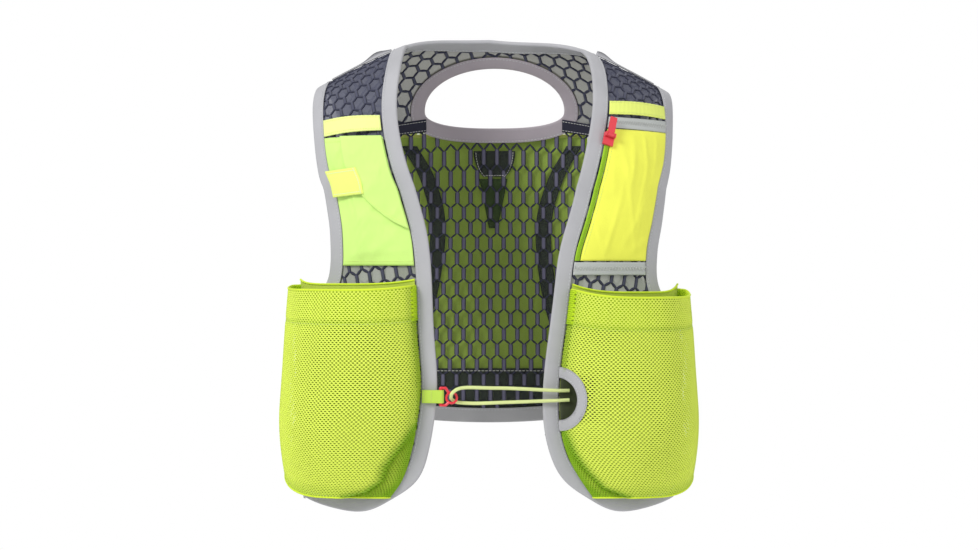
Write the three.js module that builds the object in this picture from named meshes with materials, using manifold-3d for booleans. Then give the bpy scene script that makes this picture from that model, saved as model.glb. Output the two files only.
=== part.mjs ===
// Running hydration vest in its worn form. Millimetres, +Z up, -Y to the front, +X to the wearer's left.
// The origin lies midway between the shoulders, at the height that the vest hangs from.
import * as THREE from 'three';
import { mergeVertices } from 'three/addons/utils/BufferGeometryUtils.js';
import Module from 'manifold-3d';

const wasm = await Module();
wasm.setup();

// Sizes of the body that the vest is shaped to
const HALF_WIDTH = 164;
const HEM_FLARE = 7;
const FRONT_DEPTH = 105;
const BACK_DEPTH = 95;
const SECTION_POWER = 2.6;
const CHEST_Z = -100;
const HEM_Z = -380;
const NECK_RISE = 45;
const SHOULDER_FALL = 65;
const SHOULDER_POWER = 1.5;

// Sizes of the cloth and its trim
const PANEL = 1.5;
const CLOTH = 1.2;
const TAPE = 0.8;
const TAPE_WIDTH = 12;
const FIT = 0.3;
const TRIM_LIFT = 2.3;

// Sizes of the pockets
const BOTTLE_DEPTH = 40;
const BOTTLE_EDGE = 5.5;
const BOTTLE_WALL = 1.3;
const BOTTLE_LIFT = 3.3;
const BOTTLE_RISE = 16;
const BOTTLE_BOTTOM_Z = HEM_Z + BOTTLE_RISE;
const REAR_TOP_Z = -36;
const REAR_BOTTOM_Z = -262;

// Sizes of the fastenings
const CORD = 3;
const HOOK_THICK = 2.4;
const HOOK_RING = 5.6;
const HOOK_WIRE = 2.1;
const WEBBING = 1.2;
const WEBBING_WIDTH = 11.5;
const PULL_LENGTH = 17;
const PULL_WIDTH = 6;
const PULL_THICK = 1.6;
const PIN = 1.5;

// Colours seen in the photo
const GREY = { color: 0xb2b6ba, roughness: 0.75, metalness: 0 };
const SLATE = { color: 0x55556a, roughness: 0.8, metalness: 0 };
const LIME = { color: 0xb4dc28, roughness: 0.75, metalness: 0 };
const PALE_LIME = { color: 0xc8ee8c, roughness: 0.7, metalness: 0 };
const YELLOW = { color: 0xf0ff2a, roughness: 0.65, metalness: 0 };
const OLIVE = { color: 0x4a7a1e, roughness: 0.8, metalness: 0 };
const DARK = { color: 0x2d2f3c, roughness: 0.8, metalness: 0 };
const RED = { color: 0xdc3346, roughness: 0.45, metalness: 0 };

const vest = new THREE.Group();
const QUARTER = Math.PI / 2;

function clamp(value, low, high) {
  return Math.min(high, Math.max(low, value));
}

function mix(a, b, share) {
  return a + (b - a) * share;
}

// One column of a table, read smoothly at a place along its first column.
function read(table, along, column, place) {
  const last = table.length - 1;
  const at = clamp(place, table[0][along], table[last][along]);
  let k = 0;
  while (k < last - 1 && at > table[k + 1][along]) k += 1;
  const step = table[k + 1][along] - table[k][along];
  const slope = (i) => {
    const low = table[Math.max(i - 1, 0)];
    const high = table[Math.min(i + 1, last)];
    return (high[column] - low[column]) / (high[along] - low[along]);
  };
  const s = (at - table[k][along]) / step;
  const rest = 1 - s;
  return table[k][column] * (1 + 2 * s) * rest * rest + slope(k) * step * s * rest * rest
    + table[k + 1][column] * (3 - 2 * s) * s * s - slope(k + 1) * step * s * s * rest;
}

// The body's form. Girth is the angle round the body, 0 at the front and positive to the wearer's left. Drop is 0 on
// the shoulder's ridge, 1 at the chest line and 2 at the hem line.
function ridgeHeight(x) {
  return NECK_RISE - SHOULDER_FALL * Math.pow(Math.abs(x) / HALF_WIDTH, SHOULDER_POWER);
}

function halfWidth(drop) {
  return HALF_WIDTH + HEM_FLARE * clamp(drop - 1, 0, 1);
}

function form(girth, drop) {
  const side = Math.sin(girth);
  const face = Math.cos(girth);
  const x = halfWidth(drop) * Math.sign(side) * Math.pow(Math.abs(side), 2 / SECTION_POWER);
  const depth = face > 0 ? FRONT_DEPTH : BACK_DEPTH;
  const over = Math.min(drop, 1) * QUARTER;
  const y = -depth * Math.sign(face) * Math.pow(Math.abs(face), 2 / SECTION_POWER) * Math.sin(over);
  const z = drop <= 1
    ? CHEST_Z + (ridgeHeight(x) - CHEST_Z) * Math.cos(over)
    : CHEST_Z + (HEM_Z - CHEST_Z) * (drop - 1);
  return new THREE.Vector3(x, y, z);
}

const GIRTH_STEP = 0.01;
const DROP_STEP = 0.004;
const WIDEST_MITRE = 1.6;

function slopes(girth, drop) {
  const low = Math.max(drop - DROP_STEP, 0);
  const around = form(girth + GIRTH_STEP, drop).sub(form(girth - GIRTH_STEP, drop)).divideScalar(2 * GIRTH_STEP);
  const down = form(girth, drop + DROP_STEP).sub(form(girth, low)).divideScalar(drop + DROP_STEP - low);
  return { around, down, out: around.clone().cross(down).negate().normalize() };
}

function skin(place, lift) {
  return form(place.girth, place.drop).addScaledVector(slopes(place.girth, place.drop).out, lift);
}

// The girth of a point that lies so far to the side, on the front or on the back.
function girthOf(x, drop, back) {
  const share = clamp(Math.abs(x) / halfWidth(drop), 0, 1);
  const angle = Math.sign(x) * Math.asin(Math.pow(share, SECTION_POWER / 2));
  return back ? Math.PI - angle : angle;
}

function place(x, drop, back = false) {
  return { girth: girthOf(x, drop, back), drop };
}

// The drop of a point at that height.
function dropOf(x, z) {
  if (z < CHEST_Z) return 1 + (z - CHEST_Z) / (HEM_Z - CHEST_Z);
  return Math.acos(clamp((z - CHEST_Z) / (ridgeHeight(x) - CHEST_Z), 0, 1)) / QUARTER;
}

function spot(x, z, back = false) {
  return place(x, dropOf(x, z), back);
}

function between(a, b, share) {
  return { girth: mix(a.girth, b.girth, share), drop: mix(a.drop, b.drop, share) };
}

// The place that lies beside an edge's place, so far into the cloth, square to the edge there. At a corner it lies on
// the mitre.
function beside(here, from, to, distance) {
  const steps = 4;
  let at = { ...here };
  const point = form(here.girth, here.drop);
  const before = point.clone().sub(form(from.girth, from.drop)).normalize();
  const after = form(to.girth, to.drop).sub(point).normalize();
  const run = before.clone().add(after);
  const mitre = clamp(2 / run.length(), 1, WIDEST_MITRE);
  for (let k = 0; k < steps; k += 1) {
    const { around, down, out } = slopes(at.girth, at.drop);
    const inward = out.clone().cross(run).normalize().multiplyScalar(distance * mitre / steps);
    const aa = around.dot(around);
    const dd = down.dot(down);
    const ad = around.dot(down);
    const ia = inward.dot(around);
    const id = inward.dot(down);
    const scale = aa * dd - ad * ad;
    at = { girth: at.girth + (ia * dd - id * ad) / scale, drop: at.drop + (id * aa - ia * ad) / scale };
  }
  return at;
}

// The place at the same drop on a line that runs at that distance from the edge.
function across(here, from, to, distance) {
  const run = form(to.girth, to.drop).sub(form(from.girth, from.drop));
  const { around, out } = slopes(here.girth, here.drop);
  const square = Math.max(Math.abs(out.clone().cross(run).normalize().dot(around.clone().normalize())), 0.5);
  return { girth: here.girth + distance / square / around.length(), drop: here.drop };
}

// A line of places moved sideways into the cloth.
function moved(line, distance) {
  return line.map((here, i) => beside(
    here,
    line[Math.max(i - 1, 0)],
    line[Math.min(i + 1, line.length - 1)],
    distance,
  ));
}

function steps(count) {
  return Array.from({ length: count + 1 }, (_, i) => i / count);
}

// A closed mesh from points and faces, turned so that its faces look outward.
function solid(points, faces) {
  let volume = 0;
  for (const [a, b, c] of faces) volume += points[a].dot(points[b].clone().cross(points[c]));
  const turned = volume < 0 ? faces.map(([a, b, c]) => [a, c, b]) : faces;
  const geometry = new THREE.BufferGeometry();
  geometry.setAttribute('position', new THREE.Float32BufferAttribute(points.flatMap((p) => [p.x, p.y, p.z]), 3));
  geometry.setIndex(turned.flat());
  return geometry;
}

function add(name, geometry, finish) {
  geometry.computeVertexNormals();
  const mesh = new THREE.Mesh(geometry, new THREE.MeshStandardMaterial(finish));
  mesh.name = name;
  vest.add(mesh);
  return mesh;
}

function quad(faces, a, b, c, d) {
  faces.push([a, b, c], [a, c, d]);
}

// A grid of points on two layers, closed round its rim
function slab(inner, outer) {
  const rows = inner.length;
  const columns = inner[0].length;
  const points = [...inner.flat(), ...outer.flat()];
  const faces = [];
  const index = (layer, i, j) => layer * rows * columns + i * columns + j;
  for (let i = 0; i < rows - 1; i += 1) {
    for (let j = 0; j < columns - 1; j += 1) {
      quad(faces, index(0, i, j), index(0, i + 1, j), index(0, i + 1, j + 1), index(0, i, j + 1));
      quad(faces, index(1, i, j), index(1, i, j + 1), index(1, i + 1, j + 1), index(1, i + 1, j));
    }
  }
  const rim = [];
  for (let j = 0; j < columns - 1; j += 1) rim.push([0, j]);
  for (let i = 0; i < rows - 1; i += 1) rim.push([i, columns - 1]);
  for (let j = columns - 1; j > 0; j -= 1) rim.push([rows - 1, j]);
  for (let i = rows - 1; i > 0; i -= 1) rim.push([i, 0]);
  rim.forEach(([i, j], k) => {
    const [m, n] = rim[(k + 1) % rim.length];
    quad(faces, index(0, i, j), index(0, m, n), index(1, m, n), index(1, i, j));
  });
  return solid(points, faces);
}

// A sheet of cloth on a net of places. Each lift is a number or a function of the shares along and across.
function cloth(net, inner, outer) {
  const value = (lift, i, j) => {
    if (typeof lift === 'number') return lift;
    return lift(i / (net.length - 1), j / (net[0].length - 1));
  };
  const layer = (lift) => net.map((row, i) => row.map((at, j) => skin(at, value(lift, i, j))));
  return slab(layer(inner), layer(outer));
}

// Sections of equally many points, joined in a row. A ring joins its last section to its first. A side that turned
// lists for its joint is halved along its other diagonal.
function sweep(sections, ring = false, turned = () => []) {
  const count = sections[0].length;
  const points = sections.flat();
  const faces = [];
  const joints = ring ? sections.length : sections.length - 1;
  for (let i = 0; i < joints; i += 1) {
    const next = (i + 1) % sections.length;
    for (let k = 0; k < count; k += 1) {
      const m = (k + 1) % count;
      if (turned(i).includes(k)) quad(faces, next * count + k, next * count + m, i * count + m, i * count + k);
      else quad(faces, i * count + k, next * count + k, next * count + m, i * count + m);
    }
  }
  return { points, faces };
}

// Tape folded over an edge of a panel. The edge line and the line where the tape ends lie on the panel's net, and
// first says of each joint whether the edge is the net's first line, so that both are halved along like diagonals.
function folded(edge, end, first, ring = false) {
  const leads = typeof first === 'function' ? first : () => first;
  const low = -FIT;
  const high = PANEL + FIT;
  const sections = edge.map((here, i) => {
    const at = (lift, past) => {
      const rim = skin(here, lift);
      return rim.addScaledVector(rim.clone().sub(skin(end[i], lift)).normalize(), past);
    };
    const leg = (lift) => skin(end[i], lift);
    return [
      leg(high), at(high, FIT), at(low, FIT), leg(low),
      leg(low - TAPE), at(low - TAPE, FIT + TAPE), at(high + TAPE, FIT + TAPE), leg(high + TAPE),
    ];
  });
  const { points, faces } = sweep(sections, ring, (i) => (leads(i) ? [0, 4] : [2, 6]));
  if (!ring) {
    for (const start of [0, (sections.length - 1) * 8]) {
      const cap = [[0, 1, 6, 7], [1, 2, 5, 6], [2, 3, 4, 5]].map((four) => four.map((k) => start + k));
      for (const [a, b, c, d] of cap) {
        if (start === 0) quad(faces, a, b, c, d);
        else quad(faces, d, c, b, a);
      }
    }
  }
  return solid(points, faces);
}

// Manifold solids, for cuts and joins
function toManifold(geometry) {
  const plain = geometry.clone();
  plain.deleteAttribute('normal');
  plain.deleteAttribute('uv');
  const merged = mergeVertices(plain, 1e-4);
  return new wasm.Manifold(new wasm.Mesh({
    numProp: 3,
    vertProperties: new Float32Array(merged.attributes.position.array),
    triVerts: new Uint32Array(merged.index.array),
  }));
}

function toGeometry(manifold) {
  const mesh = manifold.getMesh();
  const geometry = new THREE.BufferGeometry();
  geometry.setAttribute('position', new THREE.BufferAttribute(new Float32Array(mesh.vertProperties), 3));
  geometry.setIndex(new THREE.BufferAttribute(new Uint32Array(mesh.triVerts), 1));
  return geometry;
}

// Front panels, a row for each height. The middle of the tape along each edge is a share of the half width.
const FRONT_R = [
  { drop: 0.0, inner: 0.475, outer: 0.88 },
  { drop: 0.35, inner: 0.505, outer: 0.9 },
  { drop: 0.64, inner: 0.525, outer: 0.89 },
  { drop: 0.9, inner: 0.475, outer: 0.86 },
  { drop: 1.04, inner: 0.41, outer: 0.815 },
  { drop: 1.15, inner: 0.36, outer: 0.79 },
  { drop: 1.28, inner: 0.34, outer: 0.8 },
  { drop: 1.36, inner: 0.335, outer: 0.88 },
  { drop: 1.44, inner: 0.33, outer: 0.95 },
  { drop: 1.6, inner: 0.31, outer: 0.96 },
  { drop: 1.7, inner: 0.325, outer: 0.96 },
  { drop: 1.8, inner: 0.355, outer: 0.96 },
  { drop: 1.9, inner: 0.41, outer: 0.97 },
  { drop: 2.0, inner: 0.53, outer: 0.94 },
];
const FRONT_L = [
  { drop: 0.0, inner: 0.525, outer: 0.925 },
  { drop: 0.28, inner: 0.575, outer: 0.945 },
  { drop: 0.6, inner: 0.585, outer: 0.945 },
  { drop: 0.84, inner: 0.545, outer: 0.93 },
  { drop: 1.0, inner: 0.5, outer: 0.9 },
  { drop: 1.1, inner: 0.455, outer: 0.875 },
  { drop: 1.2, inner: 0.405, outer: 0.845 },
  { drop: 1.3, inner: 0.385, outer: 0.85 },
  { drop: 1.4, inner: 0.365, outer: 0.93 },
  { drop: 1.53, inner: 0.335, outer: 0.96 },
  { drop: 1.65, inner: 0.32, outer: 0.96 },
  { drop: 1.76, inner: 0.335, outer: 0.96 },
  { drop: 1.86, inner: 0.395, outer: 0.96 },
  { drop: 2.0, inner: 0.55, outer: 0.94 },
];
const SIDES = [
  { key: 'r', sign: -1, edges: FRONT_R },
  { key: 'l', sign: 1, edges: FRONT_L },
];
const HEM_EDGE = 1.995;
const RIDGE = 0.006;
const FRONT_DROPS = [
  RIDGE, 0.12, 0.24, 0.36, 0.48, 0.6, 0.72, 0.83, 0.93, 1.03, 1.12, 1.2, 1.28, 1.34, 1.4, 1.47, 1.54, 1.61, 1.68,
  1.75, 1.82, 1.89, HEM_EDGE - TAPE_WIDTH / (CHEST_Z - HEM_Z), HEM_EDGE,
];
const FRONT_COLUMNS = 4;
const UNDERARM = 1.42;
const HEM_TAPE_START = 0.06;
const SIDE_GAP = 0.9;

function middle({ sign, edges }, column, drop) {
  return place(sign * HALF_WIDTH * read(edges, 'drop', column, drop), drop);
}

// The place at that distance from the middle of a tape, counted towards the wearer's left
function fromTape(side, column, drop, distance) {
  const near = 0.02;
  const high = Math.max(drop - near, 0);
  return across(middle(side, column, drop), middle(side, column, high), middle(side, column, drop + near), distance);
}

const frontNets = {};

function frontPanel(side) {
  const half = TAPE_WIDTH / 2;
  const net = FRONT_DROPS.map((drop) => {
    const innerEnd = fromTape(side, 'inner', drop, side.sign * half);
    const outerEnd = fromTape(side, 'outer', drop, -side.sign * half);
    return [
      fromTape(side, 'inner', drop, -side.sign * half),
      ...steps(FRONT_COLUMNS).map((share) => between(innerEnd, outerEnd, share)),
      fromTape(side, 'outer', drop, side.sign * half),
    ];
  });
  frontNets[side.key] = net;
  add(`front_panel_${side.key}`, cloth(net, 0, PANEL), SLATE);
  add(`edge_tape_${side.key}`, folded(column(net, 0), column(net, 1), true), GREY);
  const arm = net.filter((row) => row[0].drop < UNDERARM);
  add(`armhole_tape_front_${side.key}`, folded(column(arm, -1), column(arm, -2), false), GREY);
  const hem = net.map((row) => row.slice(1));
  const start = TAPE_WIDTH * HEM_TAPE_START;
  const [above, below] = hem.slice(-2).map((row) => [
    { ...row[0], girth: row[0].girth + side.sign * (start / HALF_WIDTH) },
    ...row.slice(1),
  ]);
  add(`front_hem_tape_${side.key}`, folded(below, above, false), GREY);
}

// A value between the rows of a table, in straight stretches
function along(table, name, round) {
  let k = 0;
  while (k < table.length - 2 && round > table[k + 1].round + 1e-9) k += 1;
  const share = (round - table[k].round) / (table[k + 1].round - table[k].round);
  return mix(table[k][name], table[k + 1][name], share);
}

// Stations on each corner of an outline, and so many between each two
function stations(corners) {
  const rounds = [corners[0].round];
  corners.slice(1).forEach(({ round, parts }, i) => {
    for (let k = 1; k <= parts; k += 1) rounds.push(mix(corners[i].round, round, k / parts));
  });
  return rounds;
}

// The net of a panel that lies between the cutout and an outer edge
function ringNet(inner, outer, columns) {
  const innerEnd = moved(inner, -TAPE_WIDTH);
  const outerEnd = moved(outer, TAPE_WIDTH);
  return inner.map((edge, i) => [
    edge,
    ...steps(columns).map((share) => between(innerEnd[i], outerEnd[i], share)),
    outer[i],
  ]);
}

function column(net, j) {
  return net.map((row) => row[j < 0 ? row.length + j : j]);
}

// The yoke behind the neck. Its outer edge starts at one end of the seam and goes over both shoulders to the other.
// The turn says which point of the cutout lies across from it.
const YOKE_EDGE = [
  { round: 0, x: -0.8, drop: 0.665, turn: 2.4 },
  { round: 0.1, x: -0.85, drop: 0.34, turn: 2.2 },
  { round: 0.2, x: -0.915, drop: RIDGE, turn: 2.0 },
  { round: 0.28, x: -0.69, drop: RIDGE, turn: 1.8 },
  { round: 0.36, x: -0.44, drop: RIDGE, turn: 1.6 },
  { round: 0.64, x: 0.49, drop: RIDGE, turn: 0.4 },
  { round: 0.72, x: 0.73, drop: RIDGE, turn: 0.2 },
  { round: 0.8, x: 0.95, drop: RIDGE, turn: 0.0 },
  { round: 0.85, x: 0.925, drop: 0.16, turn: -0.1 },
  { round: 0.9, x: 0.885, drop: 0.34, turn: -0.2 },
  { round: 1, x: 0.83, drop: 0.665, turn: -0.4 },
];
const YOKE_COLUMNS = 3;
const NECK = { from: 0.36, to: 0.64, dip: 0.25 };
const CUTOUT = { x: 5, z: -26, half: 64.5, up: 38.5, down: 16.5, power: 2.6 };

// A point of the cutout's edge. The turn is in quarters, from the wearer's left side over the top.
function cutoutEdge(turn) {
  const angle = turn * QUARTER;
  const above = Math.sin(angle) >= 0;
  const bend = above ? 1 : 2 / CUTOUT.power;
  const x = CUTOUT.x + CUTOUT.half * Math.sign(Math.cos(angle)) * Math.pow(Math.abs(Math.cos(angle)), bend);
  const rise = Math.pow(Math.abs(Math.sin(angle)), bend);
  return spot(x, CUTOUT.z + (above ? CUTOUT.up : -CUTOUT.down) * rise, true);
}

const YOKE_CORNERS = [
  { round: 0 },
  { round: 0.2, parts: 5 },
  { round: 0.36, parts: 4 },
  { round: 0.64, parts: 8 },
  { round: 0.8, parts: 4 },
  { round: 1, parts: 5 },
];

let yokeNet;

function yoke() {
  const rounds = stations(YOKE_CORNERS);
  const outer = rounds.map((at) => {
    const share = clamp((2 * at - NECK.from - NECK.to) / (NECK.to - NECK.from), -1, 1);
    const dip = NECK.dip * (1 - share * share);
    return place(HALF_WIDTH * along(YOKE_EDGE, 'x', at), along(YOKE_EDGE, 'drop', at) + dip, true);
  });
  const inner = rounds.map((at) => cutoutEdge(along(YOKE_EDGE, 'turn', at)));
  yokeNet = ringNet(inner, outer, YOKE_COLUMNS);
  add('yoke', cloth(yokeNet, 0, PANEL), SLATE);
  edgeTape('armhole_tape_yoke_r', yokeNet, rounds, 0, 0.2);
  edgeTape('neck_tape', yokeNet, rounds, 0.36, 0.64);
  edgeTape('armhole_tape_yoke_l', yokeNet, rounds, 0.8, 1);
}

function edgeTape(name, net, rounds, from, to) {
  const near = 1e-6;
  const rows = net.filter((_, i) => rounds[i] > from - near && rounds[i] < to + near);
  add(name, folded(column(rows, -1), column(rows, -2), false), GREY);
}

// The back panel's outer edge, from the seam on the wearer's left down, along the hem and up to the other end. Down
// is a share of the hem line's depth.
const BACK_EDGE = [
  { round: 0, x: 0.83, down: 0.103, turn: -0.4 },
  { round: 0.08, x: 0.78, down: 0.237, turn: -0.44 },
  { round: 0.14, x: 0.78, down: 0.368, turn: -0.48 },
  { round: 0.2, x: 0.84, down: 0.487, turn: -0.52 },
  { round: 0.25, x: 0.92, down: 0.566, turn: -0.57 },
  { round: 0.33, x: 0.9, down: 0.69, turn: -0.64 },
  { round: 0.4, x: 0.86, down: 0.771, turn: -0.72 },
  { round: 0.5, x: 0, down: 0.813, turn: -1.0 },
  { round: 0.6, x: -0.86, down: 0.771, turn: -1.28 },
  { round: 0.67, x: -0.9, down: 0.69, turn: -1.36 },
  { round: 0.75, x: -0.91, down: 0.566, turn: -1.43 },
  { round: 0.8, x: -0.82, down: 0.487, turn: -1.48 },
  { round: 0.86, x: -0.76, down: 0.368, turn: -1.52 },
  { round: 0.92, x: -0.75, down: 0.237, turn: -1.56 },
  { round: 1, x: -0.8, down: 0.103, turn: -1.6 },
];
const BACK_CORNERS = [
  { round: 0 },
  { round: 0.25, parts: 7 },
  { round: 0.4, parts: 3 },
  { round: 0.6, parts: 8 },
  { round: 0.75, parts: 3 },
  { round: 1, parts: 7 },
];
const BACK_HEM = { ends: 0.771, middle: 0.813 };
const BACK_COLUMNS = 5;
const SEAM_SHIFT = 0.006;
const SEAM_GAP = 0.85;
let backNet;

function hemRound(x) {
  return 1 - Math.pow(x, 2);
}

function backPanel() {
  const rounds = stations(BACK_CORNERS);
  const outer = rounds.map((at) => {
    const x = HALF_WIDTH * along(BACK_EDGE, 'x', at);
    const hem = at > 0.4 && at < 0.6;
    const sag = mix(BACK_HEM.ends, BACK_HEM.middle, hemRound((at - 0.5) / 0.1));
    const z = HEM_Z * (hem ? sag : along(BACK_EDGE, 'down', at));
    return spot(x, z, true);
  });
  const inner = rounds.map((at) => cutoutEdge(along(BACK_EDGE, 'turn', at)));
  backNet = ringNet(inner, outer, BACK_COLUMNS);
  for (const end of [0, backNet.length - 1]) {
    const seam = yokeNet[end === 0 ? yokeNet.length - 1 : 0];
    backNet[end] = steps(BACK_COLUMNS + 2).map((_, j) => {
      const share = clamp((j - 1) / BACK_COLUMNS, 0, 1);
      const k = share * YOKE_COLUMNS + 1;
      const low = Math.min(Math.floor(k), YOKE_COLUMNS);
      let at = between(seam[low], seam[low + 1], k - low);
      if (j === 0) [at] = seam;
      if (j === BACK_COLUMNS + 2) at = seam[seam.length - 1];
      return { girth: at.girth, drop: at.drop + SEAM_SHIFT };
    });
  }
  add('back_panel', cloth(backNet, 0, PANEL), SLATE);
  edgeTape('armhole_tape_back_l', backNet, rounds, 0, 0.25);
  edgeTape('back_hem_tape', backNet, rounds, 0.4, 0.6);
  edgeTape('armhole_tape_back_r', backNet, rounds, 0.75, 1);
}

function cutoutTape() {
  const ring = [...yokeNet, ...backNet];
  add('cutout_tape', folded(column(ring, 0), column(ring, 1), true, true), GREY);
}

// The side wings close the vest under the arms, from the front panels to the back panel.
const WING_COLUMNS = 6;
const WING_TOP = { front: 1.425, back: 1.415 };
const WING_HEM = { front: 1.89, back: 1.685 };
const HEM_WIDTH = TAPE_WIDTH / (CHEST_Z - HEM_Z);

function backEdgeAt(sign, z) {
  const down = z / HEM_Z;
  const table = BACK_EDGE.filter((row) => Math.sign(row.x) === sign).sort((a, b) => a.down - b.down);
  let k = 0;
  while (k < table.length - 2 && down > table[k + 1].down) k += 1;
  return mix(table[k].x, table[k + 1].x, clamp((down - table[k].down) / (table[k + 1].down - table[k].down), 0, 1));
}

function dropHeight(drop) {
  return CHEST_Z + (HEM_Z - CHEST_Z) * (drop - 1);
}

function wingRow(side, front, back) {
  const first = fromTape(side, 'outer', front, side.sign * (TAPE_WIDTH / 2 + SIDE_GAP));
  const last = place(HALF_WIDTH * backEdgeAt(side.sign, dropHeight(back)), back, true);
  const lastGirth = side.sign > 0 ? last.girth : last.girth - 2 * Math.PI;
  const shift = (side.sign * SIDE_GAP) / slopes(last.girth, back).around.length();
  return steps(WING_COLUMNS).map((share) => ({
    girth: mix(first.girth, lastGirth - shift, share),
    drop: mix(front, back, share),
  }));
}

function wing(side) {
  const rows = FRONT_DROPS.filter((drop) => drop > WING_TOP.front + HEM_WIDTH && drop < WING_HEM.front - HEM_WIDTH);
  const fronts = [
    WING_TOP.front, WING_TOP.front + HEM_WIDTH, ...rows, WING_HEM.front - HEM_WIDTH, WING_HEM.front,
  ];
  const topEnd = WING_TOP.back + HEM_WIDTH;
  const hemEnd = WING_HEM.back - HEM_WIDTH;
  const net = fronts.map((front, i) => {
    let back = mix(topEnd, hemEnd, (i - 1) / (fronts.length - 3));
    if (i === 0) back = WING_TOP.back;
    if (i === fronts.length - 1) back = WING_HEM.back;
    return wingRow(side, front, back);
  });
  const last = net.length - 1;
  add(`side_wing_${side.key}`, cloth(net, 0, PANEL), SLATE);
  add(`underarm_tape_${side.key}`, folded(net[0], net[1], true), GREY);
  add(`side_hem_tape_${side.key}`, folded(net[last], net[last - 1], false), GREY);
}

// The bottle pockets: cups with a wall against the panel and a wall that stands out. Girth shares run from the
// front edge tape to the fold at the side, and each wall has its own rim.
const BOTTLE = {
  r: { rim: -188, ends: 4, backRim: -183, outer: 1.27, outerHem: 1.35, cornerRise: 14 },
  l: { rim: -194.5, ends: 7, backRim: -190, outer: 1.27, outerHem: 1.35, cornerRise: 14 },
};
const BOTTLE_ROWS = [0, 0.12, 0.3, 0.5, 0.7, 0.86, 0.95, 1];
const BOTTLE_STATIONS = 10;
const BOTTLE_FORM = { skew: 0.8, power: 0.7, rimDepth: 0.82, hemDepth: 0.42 };

function bottleDepth(share, down) {
  const swell = Math.pow(Math.sin(Math.PI * Math.pow(share, BOTTLE_FORM.skew)), BOTTLE_FORM.power);
  const top = mix(BOTTLE_FORM.rimDepth, 1, Math.sin(clamp(down / 0.6, 0, 1) * QUARTER));
  const foot = mix(1, BOTTLE_FORM.hemDepth, Math.pow(clamp((down - 0.6) / 0.4, 0, 1), 2));
  return BOTTLE_EDGE + (BOTTLE_DEPTH - BOTTLE_EDGE) * swell * top * foot;
}

function bottlePlace(side, share, down, rim) {
  const cup = BOTTLE[side.key];
  const bottom = BOTTLE_BOTTOM_Z + cup.cornerRise * Math.pow(clamp((share - 0.7) / 0.3, 0, 1), 2);
  const z = mix(rim + cup.ends * Math.pow(Math.abs(2 * share - 1), 4), bottom, down);
  const drop = dropOf(0, z);
  const inner = fromTape(side, 'inner', drop, side.sign * (TAPE_WIDTH / 2 + 1)).girth;
  const outer = side.sign * mix(cup.outer, cup.outerHem, down);
  return { girth: mix(inner, outer, share), drop };
}

// The inside of a closed line of points in a level section, a wall's thickness in
function insideLoop(loop, wall) {
  const count = loop.length;
  let area = 0;
  loop.forEach((p, i) => {
    const q = loop[(i + 1) % count];
    area += p.x * q.y - q.x * p.y;
  });
  const turn = Math.sign(area);
  return loop.map((p, i) => {
    const before = loop[(i + count - 1) % count];
    const after = loop[(i + 1) % count];
    const a = new THREE.Vector2(p.x - before.x, p.y - before.y).normalize();
    const b = new THREE.Vector2(after.x - p.x, after.y - p.y).normalize();
    const normal = new THREE.Vector2(-a.y - b.y, a.x + b.x).multiplyScalar(turn);
    const scale = 2 / Math.max(normal.lengthSq(), 1.2);
    return new THREE.Vector3(p.x + normal.x * scale * wall, p.y + normal.y * scale * wall, p.z);
  });
}

// A cup from its outer loops, top to bottom. The first half of a loop is one wall and the second the other, backwards.
function cup(loops, wall) {
  const count = loops[0].length;
  const rows = loops.length;
  const inside = loops.map((loop) => insideLoop(loop, wall));
  const floor = inside.length - 1;
  inside[floor].forEach((p) => { p.z += wall; });
  const points = [...loops.flat(), ...inside.flat()];
  const faces = [];
  const outerIndex = (i, k) => i * count + (k % count);
  const innerIndex = (i, k) => rows * count + i * count + (k % count);
  for (let i = 0; i < rows - 1; i += 1) {
    for (let k = 0; k < count; k += 1) {
      quad(faces, outerIndex(i, k), outerIndex(i + 1, k), outerIndex(i + 1, k + 1), outerIndex(i, k + 1));
      quad(faces, innerIndex(i, k), innerIndex(i, k + 1), innerIndex(i + 1, k + 1), innerIndex(i + 1, k));
    }
  }
  for (let k = 0; k < count; k += 1) {
    quad(faces, outerIndex(0, k), outerIndex(0, k + 1), innerIndex(0, k + 1), innerIndex(0, k));
  }
  for (let k = 0; k < count / 2 - 1; k += 1) {
    const m = count - 1 - k;
    const corners = [k, k + 1, m - 1, m];
    const [under, over] = [outerIndex, innerIndex].map((index) => corners.map((n) => index(rows - 1, n)));
    quad(faces, under[0], under[3], under[2], under[1]);
    quad(faces, over[0], over[1], over[2], over[3]);
  }
  return solid(points, faces);
}

function bottlePocket(side) {
  const { rim, backRim } = BOTTLE[side.key];
  const shares = steps(BOTTLE_STATIONS);
  const loops = BOTTLE_ROWS.map((down) => {
    const wall = shares.map((share) => skin(bottlePlace(side, share, down, backRim), BOTTLE_LIFT));
    const front = shares.map((share) => {
      const lift = BOTTLE_LIFT + bottleDepth(share, down);
      return skin(bottlePlace(side, share, down, rim), lift);
    });
    return [...wall, ...front.reverse()];
  });
  return cup(loops, BOTTLE_WALL);
}

// Where a pocket's inner edge lies at a height
function pocketEdge(side, z) {
  const drop = dropOf(0, z);
  return skin(fromTape(side, 'inner', drop, side.sign * (TAPE_WIDTH / 2 + 1)), 0).x;
}

// The window in the wearer's left pocket, where the chest cord goes in, beside the pocket's inner edge
const WINDOW = { z: HEM_Z * 14 / 19, beside: 1.29843, radius: 15.5, tape: 9, thick: 1, parts: 10, sweep: 78 };
WINDOW.x = pocketEdge(SIDES[1], WINDOW.z) - WINDOW.beside;
// The patch behind the window: how far its ends lie beyond the middle, and its share of the window's height
const CORD_PATCH = { near: 4, far: 26, height: 0.85 };

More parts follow.
